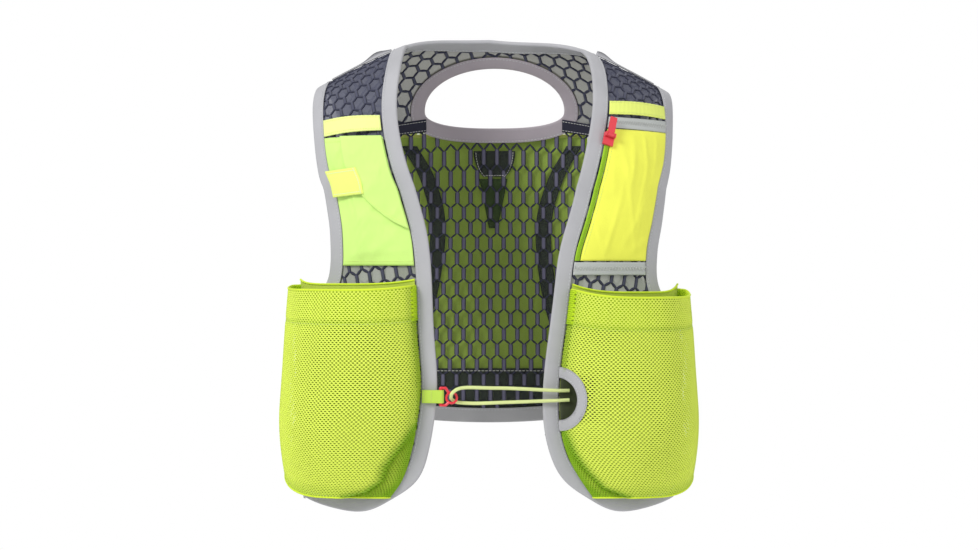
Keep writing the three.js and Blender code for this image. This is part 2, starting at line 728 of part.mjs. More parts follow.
function windowCut(geometry) {
  const seat = skin(spot(WINDOW.x, WINDOW.z), BOTTLE_LIFT + BOTTLE_WALL + FIT).y;
  const reach = 100;
  const hole = wasm.Manifold.cylinder(reach, WINDOW.radius, WINDOW.radius, 20)
    .rotate([90, 0, 0])
    .translate([WINDOW.x, seat, WINDOW.z]);
  return toGeometry(toManifold(geometry).subtract(hole));
}

// How far forward a mesh reaches at a point seen from the front
function faceAt(geometry, x, z) {
  const { position } = geometry.attributes;
  const { index } = geometry;
  let front = Infinity;
  const corner = (i) => new THREE.Vector3().fromBufferAttribute(position, index.getX(i));
  for (let i = 0; i < index.count; i += 3) {
    const [a, b, c] = [corner(i), corner(i + 1), corner(i + 2)];
    const area = (b.x - a.x) * (c.z - a.z) - (c.x - a.x) * (b.z - a.z);
    if (Math.abs(area) < 1e-9) continue;
    const u = ((x - a.x) * (c.z - a.z) - (c.x - a.x) * (z - a.z)) / area;
    const v = ((b.x - a.x) * (z - a.z) - (x - a.x) * (b.z - a.z)) / area;
    if (u >= 0 && v >= 0 && u + v <= 1) front = Math.min(front, a.y + u * (b.y - a.y) + v * (c.y - a.y));
  }
  return front;
}

function windowTape(pocket) {
  const seat = 1.6;
  const sweepAngle = THREE.MathUtils.degToRad(WINDOW.sweep);
  const turns = steps(WINDOW.parts).map((share) => mix(sweepAngle, -sweepAngle, share));
  const rings = [0.8, WINDOW.tape / 2, WINDOW.tape];
  const layer = (lift) => turns.map((turn) => rings.map((ring) => {
    const radius = WINDOW.radius + ring;
    const x = WINDOW.x + radius * Math.cos(turn);
    const z = WINDOW.z + radius * Math.sin(turn);
    return new THREE.Vector3(x, faceAt(pocket, x, z) - lift, z);
  }));
  add('window_tape', slab(layer(seat), layer(seat + WINDOW.thick)), GREY);
}

function bottlePockets() {
  const [right, left] = SIDES;
  add('bottle_pocket_r', bottlePocket(right), LIME);
  const plain = bottlePocket(left);
  add('bottle_pocket_l', windowCut(plain), LIME);
  windowTape(plain);
  const lift = BOTTLE_LIFT + BOTTLE_WALL + FIT;
  const net = steps(2).map((down) => steps(2).map((share) => spot(
    WINDOW.x + mix(CORD_PATCH.near, CORD_PATCH.far, share),
    WINDOW.z + WINDOW.radius * CORD_PATCH.height * mix(1, -1, down),
  )));
  add('cord_patch', cloth(net, lift, lift + CLOTH), OLIVE);
}

// Chest trim: nets between the front tapes, from heights at the inner and the outer tape
function chestX(side, columnName, z, distance) {
  let x = side.sign * HALF_WIDTH * 0.7;
  for (let k = 0; k < 8; k += 1) {
    const at = fromTape(side, columnName, dropOf(x, z), distance);
    x = form(at.girth, at.drop).x;
  }
  return x;
}

function chestNet(side, rows, columns, inset = { inner: 1, outer: 1 }) {
  const half = TAPE_WIDTH / 2;
  return rows.map(({ inner, outer }) => {
    const innerZ = HEM_Z * inner;
    const outerZ = HEM_Z * outer;
    const innerX = chestX(side, 'inner', innerZ, side.sign * (half + inset.inner));
    const outerX = chestX(side, 'outer', outerZ, -side.sign * (half + inset.outer));
    return steps(columns).map((share) => spot(mix(innerX, outerX, share), mix(innerZ, outerZ, share)));
  });
}

function swell(height) {
  return (u, v) => height * Math.sin(Math.PI * u) * Math.sin(Math.PI * v);
}

function raised(lift, height) {
  const over = swell(height);
  return (u, v) => lift + over(u, v);
}

function bowed(lift, height) {
  return (u, v) => lift + height * Math.sin(Math.PI * v);
}

const STASH = { top: 0.1525, bottom: 0.4395, puff: 1.2, rim: 1.5 };
const BAND_R = [
  { inner: 0.104, outer: 0.112 },
  { inner: 0.121, outer: 0.13 },
  { inner: 0.138, outer: 0.149 },
];
const FLAP = [
  { share: 0, bottom: 0.358 },
  { share: 0.35, bottom: 0.337 },
  { share: 0.7, bottom: 0.3 },
  { share: 1, bottom: 0.258 },
];

const TAB = { top: -87, width: 22, long: 25, rise: 3, reach: 18 };

function stashPocket() {
  const [side] = SIDES;
  const bow = 3;
  const band = chestNet(side, BAND_R, 5);
  add('loop_band_r', cloth(band, bowed(TRIM_LIFT, bow), bowed(TRIM_LIFT + CLOTH, bow)), PALE_LIME);
  const rows = steps(8).map((share) => {
    const down = mix(STASH.top, STASH.bottom, share);
    return { inner: down, outer: down };
  });
  const puff = swell(STASH.puff);
  const over = (lift) => (u, v) => lift + puff(u, v) + STASH.rim * Math.pow(1 - u, 3) * Math.sin(Math.PI * v);
  add('stash_pocket', cloth(chestNet(side, rows, 5), over(TRIM_LIFT), over(TRIM_LIFT + CLOTH)), PALE_LIME);
  const flapLift = TRIM_LIFT + CLOTH + STASH.rim + FIT;
  const half = TAPE_WIDTH / 2;
  const flap = steps(5).map((down) => steps(4).map((share) => {
    const z = HEM_Z * mix(STASH.top, read(FLAP, 'share', 'bottom', share), down);
    const inner = chestX(side, 'inner', z, side.sign * (half + 1));
    const outer = chestX(side, 'outer', z, -side.sign * (half + TAB.reach));
    return spot(mix(inner, outer, share), z);
  }));
  add('stash_flap', cloth(flap, flapLift, flapLift + CLOTH), PALE_LIME);
  const tabLift = flapLift + CLOTH + FIT;
  const tab = steps(2).map((down) => {
    const z = TAB.top - TAB.width * down;
    const outer = chestX(side, 'outer', z, -side.sign * (half + 0.5));
    return steps(3).map((share) => spot(outer + share * TAB.long, z + share * TAB.rise));
  });
  add('flap_tab', cloth(tab, tabLift, tabLift + CLOTH), YELLOW);
}

// The zip pocket on the wearer's left, its bands and its zip
const ZIP = { top: 0.134, bottom: 0.429, slope: 0.005, inner: 6.2, teeth: 4, puff: 3.2 };
const BAND_L = [
  { inner: 0.071, outer: 0.078 },
  { inner: 0.087, outer: 0.092 },
  { inner: 0.101, outer: 0.107 },
];
const GREY_TOP = [
  { inner: 0.107, outer: 0.112 },
  { inner: 0.118, outer: 0.125 },
  { inner: 0.131, outer: 0.138 },
];
const GREY_FOOT = [
  { inner: 0.432, outer: 0.432 },
  { inner: 0.446, outer: 0.446 },
  { inner: 0.461, outer: 0.461 },
];

function zipPocket() {
  const [, side] = SIDES;
  const bow = 2;
  add('loop_band_l', cloth(chestNet(side, BAND_L, 5), bowed(TRIM_LIFT, bow), bowed(TRIM_LIFT + CLOTH, bow)), YELLOW);
  add('zip_band_top', cloth(chestNet(side, GREY_TOP, 5), TRIM_LIFT, TRIM_LIFT + CLOTH), GREY);
  const rows = steps(8).map((share) => {
    const inner = mix(ZIP.top, ZIP.bottom, share);
    return { inner, outer: inner + ZIP.slope * (1 - share) };
  });
  const inset = { inner: ZIP.inner, outer: 1 };
  const net = chestNet(side, rows, 5, inset);
  add('zip_pocket', cloth(net, raised(TRIM_LIFT, ZIP.puff), raised(TRIM_LIFT + CLOTH, ZIP.puff)), YELLOW);
  const teeth = steps(8).map((share) => {
    const z = HEM_Z * mix(ZIP.top, ZIP.bottom, share) - 0.5 * (1 - share);
    const first = chestX(side, 'inner', z, side.sign * (TAPE_WIDTH / 2 + ZIP.inner - ZIP.teeth - 1));
    return [spot(first, z), spot(first + ZIP.teeth, z)];
  });
  add('zip_tape', cloth(teeth, TRIM_LIFT, TRIM_LIFT + CLOTH), LIME);
  add('zip_band_bottom', cloth(chestNet(side, GREY_FOOT, 5), TRIM_LIFT, TRIM_LIFT + CLOTH), GREY);
}

// The zip's slider stands on the teeth. The pull turns on its pin, from lying up to lying down.
const SLIDER = { z: -58, width: 9.2, long: 11, base: 2.4, lug: 1.3, eye: 1.9 };

function pullFrame() {
  const [, side] = SIDES;
  const x = chestX(side, 'inner', SLIDER.z, side.sign * (TAPE_WIDTH / 2 + ZIP.inner - 1 - ZIP.teeth / 2));
  const at = spot(x, SLIDER.z);
  const { out, down } = slopes(at.girth, at.drop);
  const up = down.clone().negate().normalize();
  const lean = 0.2;
  const across = up.clone().cross(out).normalize();
  up.addScaledVector(across, lean).normalize();
  const pin = up.clone().cross(out).normalize();
  const base = skin(at, TRIM_LIFT + CLOTH + FIT + 0.2);
  return { base, out, up, pin };
}

function framed(geometry, { base, out, up, pin }, lift) {
  const matrix = new THREE.Matrix4().makeBasis(pin, up, out);
  matrix.setPosition(base.clone().addScaledVector(out, lift));
  return geometry.applyMatrix4(matrix);
}

function zipPull() {
  const frame = pullFrame();
  const pinHeight = SLIDER.base + SLIDER.eye + FIT;
  const halfGap = PULL_WIDTH / 2 + FIT;
  const box = (size, centre) => toManifold(new THREE.BoxGeometry(...size).translate(...centre));
  const lugSize = [SLIDER.lug, 2 * SLIDER.eye, pinHeight + SLIDER.eye - 0.4];
  const lug = (sign) => box(lugSize, [sign * (halfGap + SLIDER.lug / 2), 0, lugSize[2] / 2]);
  const bar = new THREE.CylinderGeometry(PIN / 2, PIN / 2, 2 * halfGap + SLIDER.lug, 10).rotateZ(QUARTER);
  const body = box([SLIDER.width, SLIDER.long, SLIDER.base], [0, -SLIDER.long / 2 + 2.5, SLIDER.base / 2])
    .add(lug(-1))
    .add(lug(1))
    .add(toManifold(bar.translate(0, 0, pinHeight)));
  add('zip_slider', framed(toGeometry(body), frame, 0), RED);
  const outline = new THREE.Shape();
  outline.absarc(0, 0, SLIDER.eye, 0.45, 2 * Math.PI - 0.45, false);
  outline.lineTo(PULL_LENGTH - PULL_THICK / 2, -PULL_THICK / 2);
  outline.absarc(PULL_LENGTH - PULL_THICK / 2, 0, PULL_THICK / 2, -QUARTER, QUARTER, false);
  outline.closePath();
  const eye = new THREE.Path();
  eye.absarc(0, 0, PIN / 2 + FIT, 0, 2 * Math.PI, true);
  outline.holes.push(eye);
  const pull = new THREE.ExtrudeGeometry(outline, { depth: PULL_WIDTH, bevelEnabled: false, curveSegments: 8 });
  pull.translate(0, 0, -PULL_WIDTH / 2);
  const turn = new THREE.Matrix4().makeBasis(
    new THREE.Vector3(0, 1, 0),
    new THREE.Vector3(0, 0, 1),
    new THREE.Vector3(1, 0, 0),
  );
  pull.applyMatrix4(turn);
  add('zip_pull', framed(pull, frame, pinHeight), RED);
}

// The rear pocket on the outside of the back panel, and what is sewn between
const REAR = { half: 0.53, hemHalf: 0.5, depth: 26, edge: 5.5, stations: 10, lift: 4.6 };
const REAR_ROWS = [0, 0.07, 0.14, 0.21, 0.28, 0.45, 0.7, 0.88, 1];

function rearLoop(down) {
  const wall = [];
  const outer = [];
  for (const share of steps(REAR.stations)) {
    const half = HALF_WIDTH * mix(REAR.half, REAR.hemHalf, down);
    const x = mix(half, -half, share);
    const z = mix(REAR_TOP_Z, REAR_BOTTOM_Z, down);
    const foot = mix(1, 0.35, Math.pow(clamp((down - 0.6) / 0.4, 0, 1), 2));
    const lift = REAR.edge + (REAR.depth - REAR.edge) * Math.pow(Math.sin(Math.PI * share), 0.6) * foot;
    wall.push(skin(spot(x, z, true), REAR.lift));
    outer.push(skin(spot(x, z, true), REAR.lift + lift));
  }
  return [...wall, ...outer.reverse()];
}

const STRAP = [
  { down: 0, right: 0.44, left: 0.47 },
  { down: 0.15, right: 0.34, left: 0.37 },
  { down: 0.35, right: 0.285, left: 0.305 },
  { down: 0.6, right: 0.31, left: 0.32 },
  { down: 0.85, right: 0.38, left: 0.385 },
  { down: 1, right: 0.42, left: 0.43 },
];
const STRAP_WIDTH = 14;
// Heights of what is sewn to the back, and half widths at its upper and lower end
const REAR_TRIM_LIFT = TRIM_LIFT + 0.4;
const STRAP_ENDS = { top: -58, bottom: -255 };
const HANGER_PATCH = { top: -62, bottom: -85, half: 19, taper: 0.85 };
const HANGER_STRAP = { top: -87, bottom: -132, halfTop: 13, halfBottom: 4, shift: -1 };
const BACKING = { top: -266, rows: 2, height: 24, half: 0.7, rise: 9.6 };

function rearParts() {
  add('rear_pocket', cup(REAR_ROWS.map(rearLoop), BOTTLE_WALL), LIME);
  const low = REAR_TRIM_LIFT;
  for (const { key, sign } of SIDES) {
    const name = sign < 0 ? 'right' : 'left';
    const net = steps(9).map((down) => {
      const x = sign * HALF_WIDTH * read(STRAP, 'down', name, down);
      const z = mix(STRAP_ENDS.top, STRAP_ENDS.bottom, down);
      return [spot(x - STRAP_WIDTH / 2, z, true), spot(x + STRAP_WIDTH / 2, z, true)];
    });
    add(`rear_strap_${key}`, cloth(net, low, low + CLOTH), DARK);
  }
  const patch = steps(3).map((down) => {
    const half = HANGER_PATCH.half * Math.sqrt(1 - Math.pow(down * HANGER_PATCH.taper, 2));
    const z = mix(HANGER_PATCH.top, HANGER_PATCH.bottom, down);
    return steps(2).map((share) => spot(CUTOUT.x + mix(-half, half, share), z, true));
  });
  add('hanger_patch', cloth(patch, low, low + CLOTH), DARK);
  const tail = steps(3).map((down) => {
    const half = mix(HANGER_STRAP.halfTop, HANGER_STRAP.halfBottom, down);
    const z = mix(HANGER_STRAP.top, HANGER_STRAP.bottom, down);
    return steps(1).map((share) => spot(CUTOUT.x + HANGER_STRAP.shift + mix(-half, half, share), z, true));
  });
  add('hanger_strap', cloth(tail, low, low + CLOTH), OLIVE);
  const backing = steps(BACKING.rows).map((down) => {
    const half = HALF_WIDTH * BACKING.half;
    return steps(12).map((share) => {
      const x = mix(-half, half, share);
      const z = BACKING.top - BACKING.height * down;
      return spot(x, z + BACKING.rise * Math.pow(x / half, 2) * down, true);
    });
  });
  add('hem_backing', cloth(backing, low, low + CLOTH), DARK);
}

// Bands that cover the seam between the yoke and the back panel, on the inside
const SEAM_BAND = { halfDrop: 0.032, inset: 0.03 };

function seamBands() {
  for (const [key, row] of [['r', yokeNet[0]], ['l', yokeNet[yokeNet.length - 1]]]) {
    const near = between(row[1], row[row.length - 2], SEAM_BAND.inset);
    const far = between(row[1], row[row.length - 2], 1 - SEAM_BAND.inset);
    const net = [-1, 1].map((edge) => steps(YOKE_COLUMNS).map((share) => {
      const at = between(near, far, share);
      return { girth: at.girth, drop: at.drop + SEAM_SHIFT / 2 + edge * SEAM_BAND.halfDrop };
    }));
    add(`seam_band_${key}`, cloth(net, -SEAM_GAP - CLOTH, -SEAM_GAP), DARK);
  }
}

// Tape over the shoulder seams, drifting from the front at the neck to the back at the arm
const SHOULDER_TAPE = { wide: 0.055, narrow: 0.012, clear: 1.5, thicker: 0.2 };

function shoulderTapes() {
  for (const side of SIDES) {
    const clear = side.sign * (TAPE_WIDTH / 2 + SHOULDER_TAPE.clear);
    const reach = (column, distance) => Math.abs(form(fromTape(side, column, RIDGE, distance).girth, RIDGE).x);
    const [inner, outer] = [reach('inner', clear), reach('outer', -clear)];
    const net = steps(4).map((share) => {
      const x = side.sign * mix(inner, outer, share);
      const front = mix(SHOULDER_TAPE.wide, SHOULDER_TAPE.narrow, share);
      const back = mix(SHOULDER_TAPE.narrow, SHOULDER_TAPE.wide, share);
      return [place(x, front), place(x, back, true)];
    });
    const layer = (lift) => net.map(([a, b]) => [skin(a, lift), skin(ridgePlace(a), lift), skin(b, lift)]);
    add(`shoulder_tape_${side.key}`, slab(layer(TRIM_LIFT), layer(TRIM_LIFT + TAPE + SHOULDER_TAPE.thicker)), GREY);
  }
}

// The place on the ridge above one on the front
function ridgePlace(front) {
  return { girth: front.girth, drop: 0 };
}

// The chest fastening: a webbing tab on the wearer's right tape holds the hook, and the cord loops through its ring.
const FASTEN_REACH = { front: 5.3, ring: 9.3, tab: 16, ringDrop: 1 };
const FASTEN = { z: -278, y: -FRONT_DEPTH - FASTEN_REACH.front, barX: -HALF_WIDTH / 4 };
FASTEN.ringX = FASTEN.barX + FASTEN_REACH.ring;
FASTEN.ringZ = FASTEN.z - FASTEN_REACH.ringDrop;
// The cord's middle line, from the window to the ring and back. Each column is a share of the half width, of the
// front's depth or of the hem line's depth.
const CORD_ROUTE = [
  { x: 0.415, front: 1.042, down: 0.718 },
  { x: 0.366, front: 1.053, down: 0.718 },
  { x: 0.305, front: 1.061, down: 0.717 },
  { x: 0.122, front: 1.07, down: 0.713 },
  { x: 0, front: 1.07, down: 0.712 },
  { x: -0.11, front: 1.072, down: 0.711 },
  { x: -0.159, front: 1.082, down: 0.714 },
  { x: -0.189, front: 1.084, down: 0.723 },
  { x: -0.196, front: 1.063, down: 0.732 },
  { x: -0.191, front: 1.027, down: 0.738 },
  { x: -0.171, front: 1.002, down: 0.744 },
  { x: -0.134, front: 1, down: 0.746 },
  { x: -0.061, front: 1.01, down: 0.747 },
  { x: 0.061, front: 1.023, down: 0.745 },
  { x: 0.183, front: 1.034, down: 0.743 },
  { x: 0.305, front: 1.044, down: 0.741 },
  { x: 0.366, front: 1.048, down: 0.74 },
  { x: 0.415, front: 1.042, down: 0.739 },
];

function fastening() {
  const barRadius = 1.4;
  const loopGap = barRadius + FIT;
  const tabEnd = FASTEN.barX - FASTEN_REACH.tab;
  const seatY = skin(spot(tabEnd, FASTEN.z), PANEL + FIT + TAPE + FIT).y;
  const bend = (radius) => steps(10).map((share) => new THREE.Vector2(
    FASTEN.barX + radius * Math.cos(mix(QUARTER, -QUARTER, share)),
    FASTEN.y + radius * Math.sin(mix(QUARTER, -QUARTER, share)),
  ));
  const strap = new THREE.Shape([
    new THREE.Vector2(tabEnd, seatY),
    ...bend(loopGap + WEBBING),
    new THREE.Vector2(tabEnd, seatY - 2 * WEBBING),
  ]);
  const eye = [new THREE.Vector2(FASTEN.barX - 5, FASTEN.y), ...bend(loopGap)];
  strap.holes.push(new THREE.Path(eye.reverse()));
  const tab = new THREE.ExtrudeGeometry(strap, { depth: WEBBING_WIDTH, bevelEnabled: false, curveSegments: 1 });
  tab.translate(0, 0, FASTEN.z - WEBBING_WIDTH / 2);
  add('webbing_tab', tab, LIME);
  const half = WEBBING_WIDTH / 2 + FIT + HOOK_THICK / 2;
  const turnX = FASTEN.barX + loopGap + WEBBING + HOOK_THICK / 2 + FIT;
  const bar = wasm.Manifold.cylinder(2 * half, barRadius, barRadius, 12)
    .translate([FASTEN.barX, FASTEN.y, FASTEN.z - half]);
  const rod = (fromX, fromZ, toX, toZ) => {
    const long = Math.hypot(toX - fromX, toZ - fromZ);
    const lean = THREE.MathUtils.radToDeg(Math.atan2(toX - fromX, toZ - fromZ));
    return wasm.Manifold.cylinder(long, HOOK_THICK / 2, HOOK_THICK / 2, 8)
      .rotate([0, lean, 0])
      .translate([fromX, FASTEN.y, fromZ]);
  };
  const arm = (sign) => {
    const z = FASTEN.z + sign * half;
    const knee = wasm.Manifold.sphere(HOOK_THICK / 2, 8);
    return rod(FASTEN.barX, z, turnX, z)
      .add(knee.translate([FASTEN.barX, FASTEN.y, z]))
      .add(knee.translate([turnX, FASTEN.y, z]))
      .add(rod(turnX, z, FASTEN.ringX - 2, FASTEN.ringZ + sign * (HOOK_RING - HOOK_WIRE)));
  };
  const ring = new THREE.TorusGeometry(HOOK_RING - HOOK_WIRE / 2, HOOK_WIRE / 2, 6, 12);
  ring.rotateX(QUARTER).translate(FASTEN.ringX, FASTEN.y, FASTEN.ringZ);
  const hook = bar.add(arm(1)).add(arm(-1)).add(toManifold(ring));
  add('hook', toGeometry(hook), RED);
}

function plain(geometry) {
  const bare = geometry.clone();
  bare.deleteAttribute('normal');
  bare.deleteAttribute('uv');
  return bare;
}

function chestCord() {
  const points = CORD_ROUTE.map(({ x, front, down }) => (
    new THREE.Vector3(HALF_WIDTH * x, -FRONT_DEPTH * front, HEM_Z * down)
  ));
  const route = new THREE.CatmullRomCurve3(points);
  const section = new THREE.Shape();
  steps(8).slice(0, 8).forEach((share, k) => {
    const angle = share * 2 * Math.PI;
    const point = [CORD / 2 * Math.cos(angle), CORD / 2 * Math.sin(angle)];
    if (k === 0) section.moveTo(...point);
    else section.lineTo(...point);
  });
  section.closePath();
  const tube = new THREE.ExtrudeGeometry(section, { steps: 38, bevelEnabled: false, extrudePath: route });
  add('chest_cord', mergeVertices(plain(tube), 1e-4), PALE_LIME);
}

for (const side of SIDES) {
  frontPanel(side);
  wing(side);
}
yoke();
backPanel();
cutoutTape();
seamBands();
shoulderTapes();
bottlePockets();
stashPocket();
zipPocket();
zipPull();
rearParts();
fastening();
chestCord();

export default vest;
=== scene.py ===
import math

import bpy
import numpy as np
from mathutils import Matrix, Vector
from mathutils.bvhtree import BVHTree


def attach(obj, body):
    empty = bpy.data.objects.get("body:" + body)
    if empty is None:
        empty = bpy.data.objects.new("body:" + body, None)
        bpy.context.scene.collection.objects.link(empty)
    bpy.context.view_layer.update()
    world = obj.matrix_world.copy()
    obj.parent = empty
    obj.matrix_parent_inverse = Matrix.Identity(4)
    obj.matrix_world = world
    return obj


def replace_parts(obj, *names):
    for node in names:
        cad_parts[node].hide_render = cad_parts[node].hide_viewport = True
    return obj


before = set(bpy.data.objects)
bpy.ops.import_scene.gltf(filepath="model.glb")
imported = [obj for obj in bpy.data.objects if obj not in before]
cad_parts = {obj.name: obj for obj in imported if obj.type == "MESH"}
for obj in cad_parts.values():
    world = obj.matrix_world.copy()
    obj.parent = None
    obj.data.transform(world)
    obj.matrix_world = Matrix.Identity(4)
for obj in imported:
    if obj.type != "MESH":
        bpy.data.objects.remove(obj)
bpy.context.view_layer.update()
rng = np.random.default_rng(7)

MM = 0.001
# Sizes of the body and the cloth, in mm, as in the part
HALF_WIDTH, HEM_FLARE, FRONT_DEPTH, BACK_DEPTH = 164, 7, 105, 95
POWER, CHEST_Z, HEM_Z = 2.6, -100, -380
NECK_RISE, SHOULDER_FALL, SHOULDER_POWER = 45, 65, 1.5
PANEL, CLOTH, TAPE_WIDTH, FIT, TRIM_LIFT = 1.5, 1.2, 12, 0.3, 2.3
CORD = 3
SOFT_EDGE = 0.35
# A stitch's start and length as shares of the pitch, and how far its ends sink and its middle bows, in mm
STITCH_START, STITCH_PART, STITCH_SINK, STITCH_BOW, STITCH_RADIUS = 0.2, 0.62, 0.1, 0.25, 0.24
THREAD_LIFT = 0.05
FORWARD = (0, -1, 0)
QUARTER = math.pi / 2


# Camera and cord
CAMERA_PLACE, CAMERA_LENS = (0, -2.6, -0.175), 108.25
camera = bpy.data.objects.new("camera", bpy.data.cameras.new("camera"))
bpy.context.collection.objects.link(camera)
camera.location = CAMERA_PLACE
camera.rotation_euler = (QUARTER, 0, 0)
camera.data.lens = CAMERA_LENS
camera.data.clip_end = 50
bpy.context.scene.camera = camera

# Shares of the half width, the front's depth and the hem's height, from the window round the ring and back
CORD_ROUTE = [
    (0.415, 1.042, 0.718), (0.366, 1.053, 0.718), (0.305, 1.061, 0.717), (0.122, 1.07, 0.713),
    (0, 1.07, 0.712), (-0.11, 1.072, 0.711), (-0.159, 1.082, 0.714), (-0.189, 1.084, 0.723),
    (-0.196, 1.063, 0.732), (-0.191, 1.027, 0.738), (-0.171, 1.002, 0.744), (-0.134, 1, 0.746),
    (-0.061, 1.01, 0.747), (0.061, 1.023, 0.745), (0.183, 1.034, 0.743), (0.305, 1.044, 0.741),
    (0.366, 1.048, 0.74), (0.415, 1.042, 0.739),
]


def smooth_line(points, per):
    """A Catmull-Rom line through the points, with that many steps between two of them."""
    pts = np.array(points, float)
    ends = np.vstack([2 * pts[0] - pts[1], pts, 2 * pts[-1] - pts[-2]])
    out = []
    for i in range(len(pts) - 1):
        a, b, c, d = ends[i:i + 4]
        for t in np.arange(per) / per:
            out.append(0.5 * (2 * b + (c - a) * t + (2 * a - 5 * b + 4 * c - d) * t * t
                              + (3 * b - a - 3 * c + d) * t ** 3))
    out.append(pts[-1])
    return np.array(out)


cord_line = smooth_line([(HALF_WIDTH * x, -FRONT_DEPTH * y, HEM_Z * z) for x, y, z in CORD_ROUTE], 4)
cord_curve = bpy.data.curves.new("cord", "CURVE")
cord_curve.dimensions = "3D"
spline = cord_curve.splines.new("POLY")
spline.points.add(len(cord_line) - 1)
# Blender counts a point's radius in the curve's bounds, so it holds the thickness and the bevel is 1
for point, co in zip(spline.points, cord_line * MM):
    point.co = (*co, 1)
    point.radius = CORD / 2 * MM
cord_curve.bevel_depth = 1
cord_curve.bevel_resolution = 4
cord = bpy.data.objects.new("cord", cord_curve)
bpy.context.collection.objects.link(cord)
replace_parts(cord, "chest_cord")
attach(cord, "vest")


# The body's form
def ridge(x):
    """The height of the line over the shoulders that parts the front from the back."""
    return NECK_RISE - SHOULDER_FALL * (np.abs(x) / HALF_WIDTH) ** SHOULDER_POWER


def half_width(drop):
    """Half the body's width at a drop: 0 at the ridge, 1 at the chest line, 2 at the hem."""
    return HALF_WIDTH + HEM_FLARE * np.clip(drop - 1, 0, 1)


def form(g, d):
    """The point on the body at a girth, an angle round it from the front's middle, and a drop."""
    g, d = np.broadcast_arrays(np.asarray(g, float), np.asarray(d, float))
    side, face = np.sin(g), np.cos(g)
    x = half_width(d) * np.sign(side) * np.abs(side) ** (2 / POWER)
    depth = np.where(face > 0, FRONT_DEPTH, BACK_DEPTH)
    over = np.minimum(d, 1) * QUARTER
    y = -depth * np.sign(face) * np.abs(face) ** (2 / POWER) * np.sin(over)
    z = np.where(d <= 1, CHEST_Z + (ridge(x) - CHEST_Z) * np.cos(over), CHEST_Z + (HEM_Z - CHEST_Z) * (d - 1))
    return np.stack([x, y, z], -1)


def slopes(g, d):
    """How the form runs around and down, and the direction straight out of it."""
    g, d = np.broadcast_arrays(np.asarray(g, float), np.asarray(d, float))
    low = np.maximum(d - 0.004, 0)
    around = (form(g + 0.01, d) - form(g - 0.01, d)) / 0.02
    down = (form(g, d + 0.004) - form(g, low)) / (d + 0.004 - low)[..., None]
    out = -np.cross(around, down)
    return around, down, out / np.linalg.norm(out, axis=-1, keepdims=True)


def skin(g, d, lift):
    """The point that lies so many mm off the body."""
    return form(g, d) + slopes(g, d)[2] * np.asarray(lift, float)[..., None]


def girth_of(x, d, back=False):
    """The girth at an x."""
    share = np.clip(np.abs(x) / half_width(d), 0, 1)
    angle = np.sign(x) * np.arcsin(share ** (POWER / 2))
    return math.pi - angle if back else angle


def drop_of(x, z):
    """The drop at a height."""
    z = np.asarray(z, float)
    upper = np.arccos(np.clip((z - CHEST_Z) / (ridge(x) - CHEST_Z), 0, 1)) / QUARTER
    return np.where(z < CHEST_Z, 1 + (z - CHEST_Z) / (HEM_Z - CHEST_Z), upper)


def read(table, column, at):
    """A column of a table, read smoothly along its first column."""
    xs = np.array([row[0] for row in table], float)
    ys = np.array([row[column] for row in table], float)
    at = np.clip(np.asarray(at, float), xs[0], xs[-1])
    k = np.clip(np.searchsorted(xs, at, side="left") - 1, 0, len(xs) - 2)
    i0, i1 = np.maximum(np.arange(len(xs)) - 1, 0), np.minimum(np.arange(len(xs)) + 1, len(xs) - 1)
    slope = (ys[i1] - ys[i0]) / (xs[i1] - xs[i0])
    step = xs[k + 1] - xs[k]
    s = (at - xs[k]) / step
    r = 1 - s
    return (ys[k] * (1 + 2 * s) * r * r + slope[k] * step * s * r * r
            + ys[k + 1] * (3 - 2 * s) * s * s - slope[k + 1] * step * s * s * r)


def sample(table, column, at):
    return np.interp(at, [row[0] for row in table], [row[column] for row in table])


# Lengths on the body: around at the chest line, and down from the ridge
GIRTHS = np.linspace(-math.pi, 2 * math.pi, 6001)
ARC = np.concatenate([[0], np.cumsum(np.linalg.norm(np.diff(form(GIRTHS, np.ones(6001)), axis=0), axis=1))])
ARC -= np.interp(0, GIRTHS, ARC)
OVER = 160


def arc(g):
    return np.interp(g, GIRTHS, ARC)


def girth_at(u):
    return np.interp(u, ARC, GIRTHS)


def length_down(d):
    return np.where(d < 1, d * OVER, OVER + (d - 1) * (CHEST_Z - HEM_Z))


def drop_at(v):
    return np.where(v < OVER, v / OVER, 1 + (v - OVER) / (CHEST_Z - HEM_Z))


def walk(g, d, run, distance):
    """The places beside an edge, so far to the side of its run."""
    g, d = np.array(g, float), np.array(d, float)
    for _ in range(4):
        around, down, out = slopes(g, d)
        side = np.cross(out, run)
        side *= distance / 4 / np.linalg.norm(side, axis=-1, keepdims=True)
        aa, dd, ad = (around * around).sum(-1), (down * down).sum(-1), (around * down).sum(-1)
        ia, im = (side * around).sum(-1), (side * down).sum(-1)
        scale = aa * dd - ad * ad
        g, d = g + (ia * dd - im * ad) / scale, d + (im * aa - ia * ad) / scale
    return g, d


def runs(points, ring=False):
    if ring:
        run = np.roll(points, -1, 0) - np.roll(points, 1, 0)
    else:
        run = np.gradient(points, axis=0)
    return run / np.linalg.norm(run, axis=-1, keepdims=True)


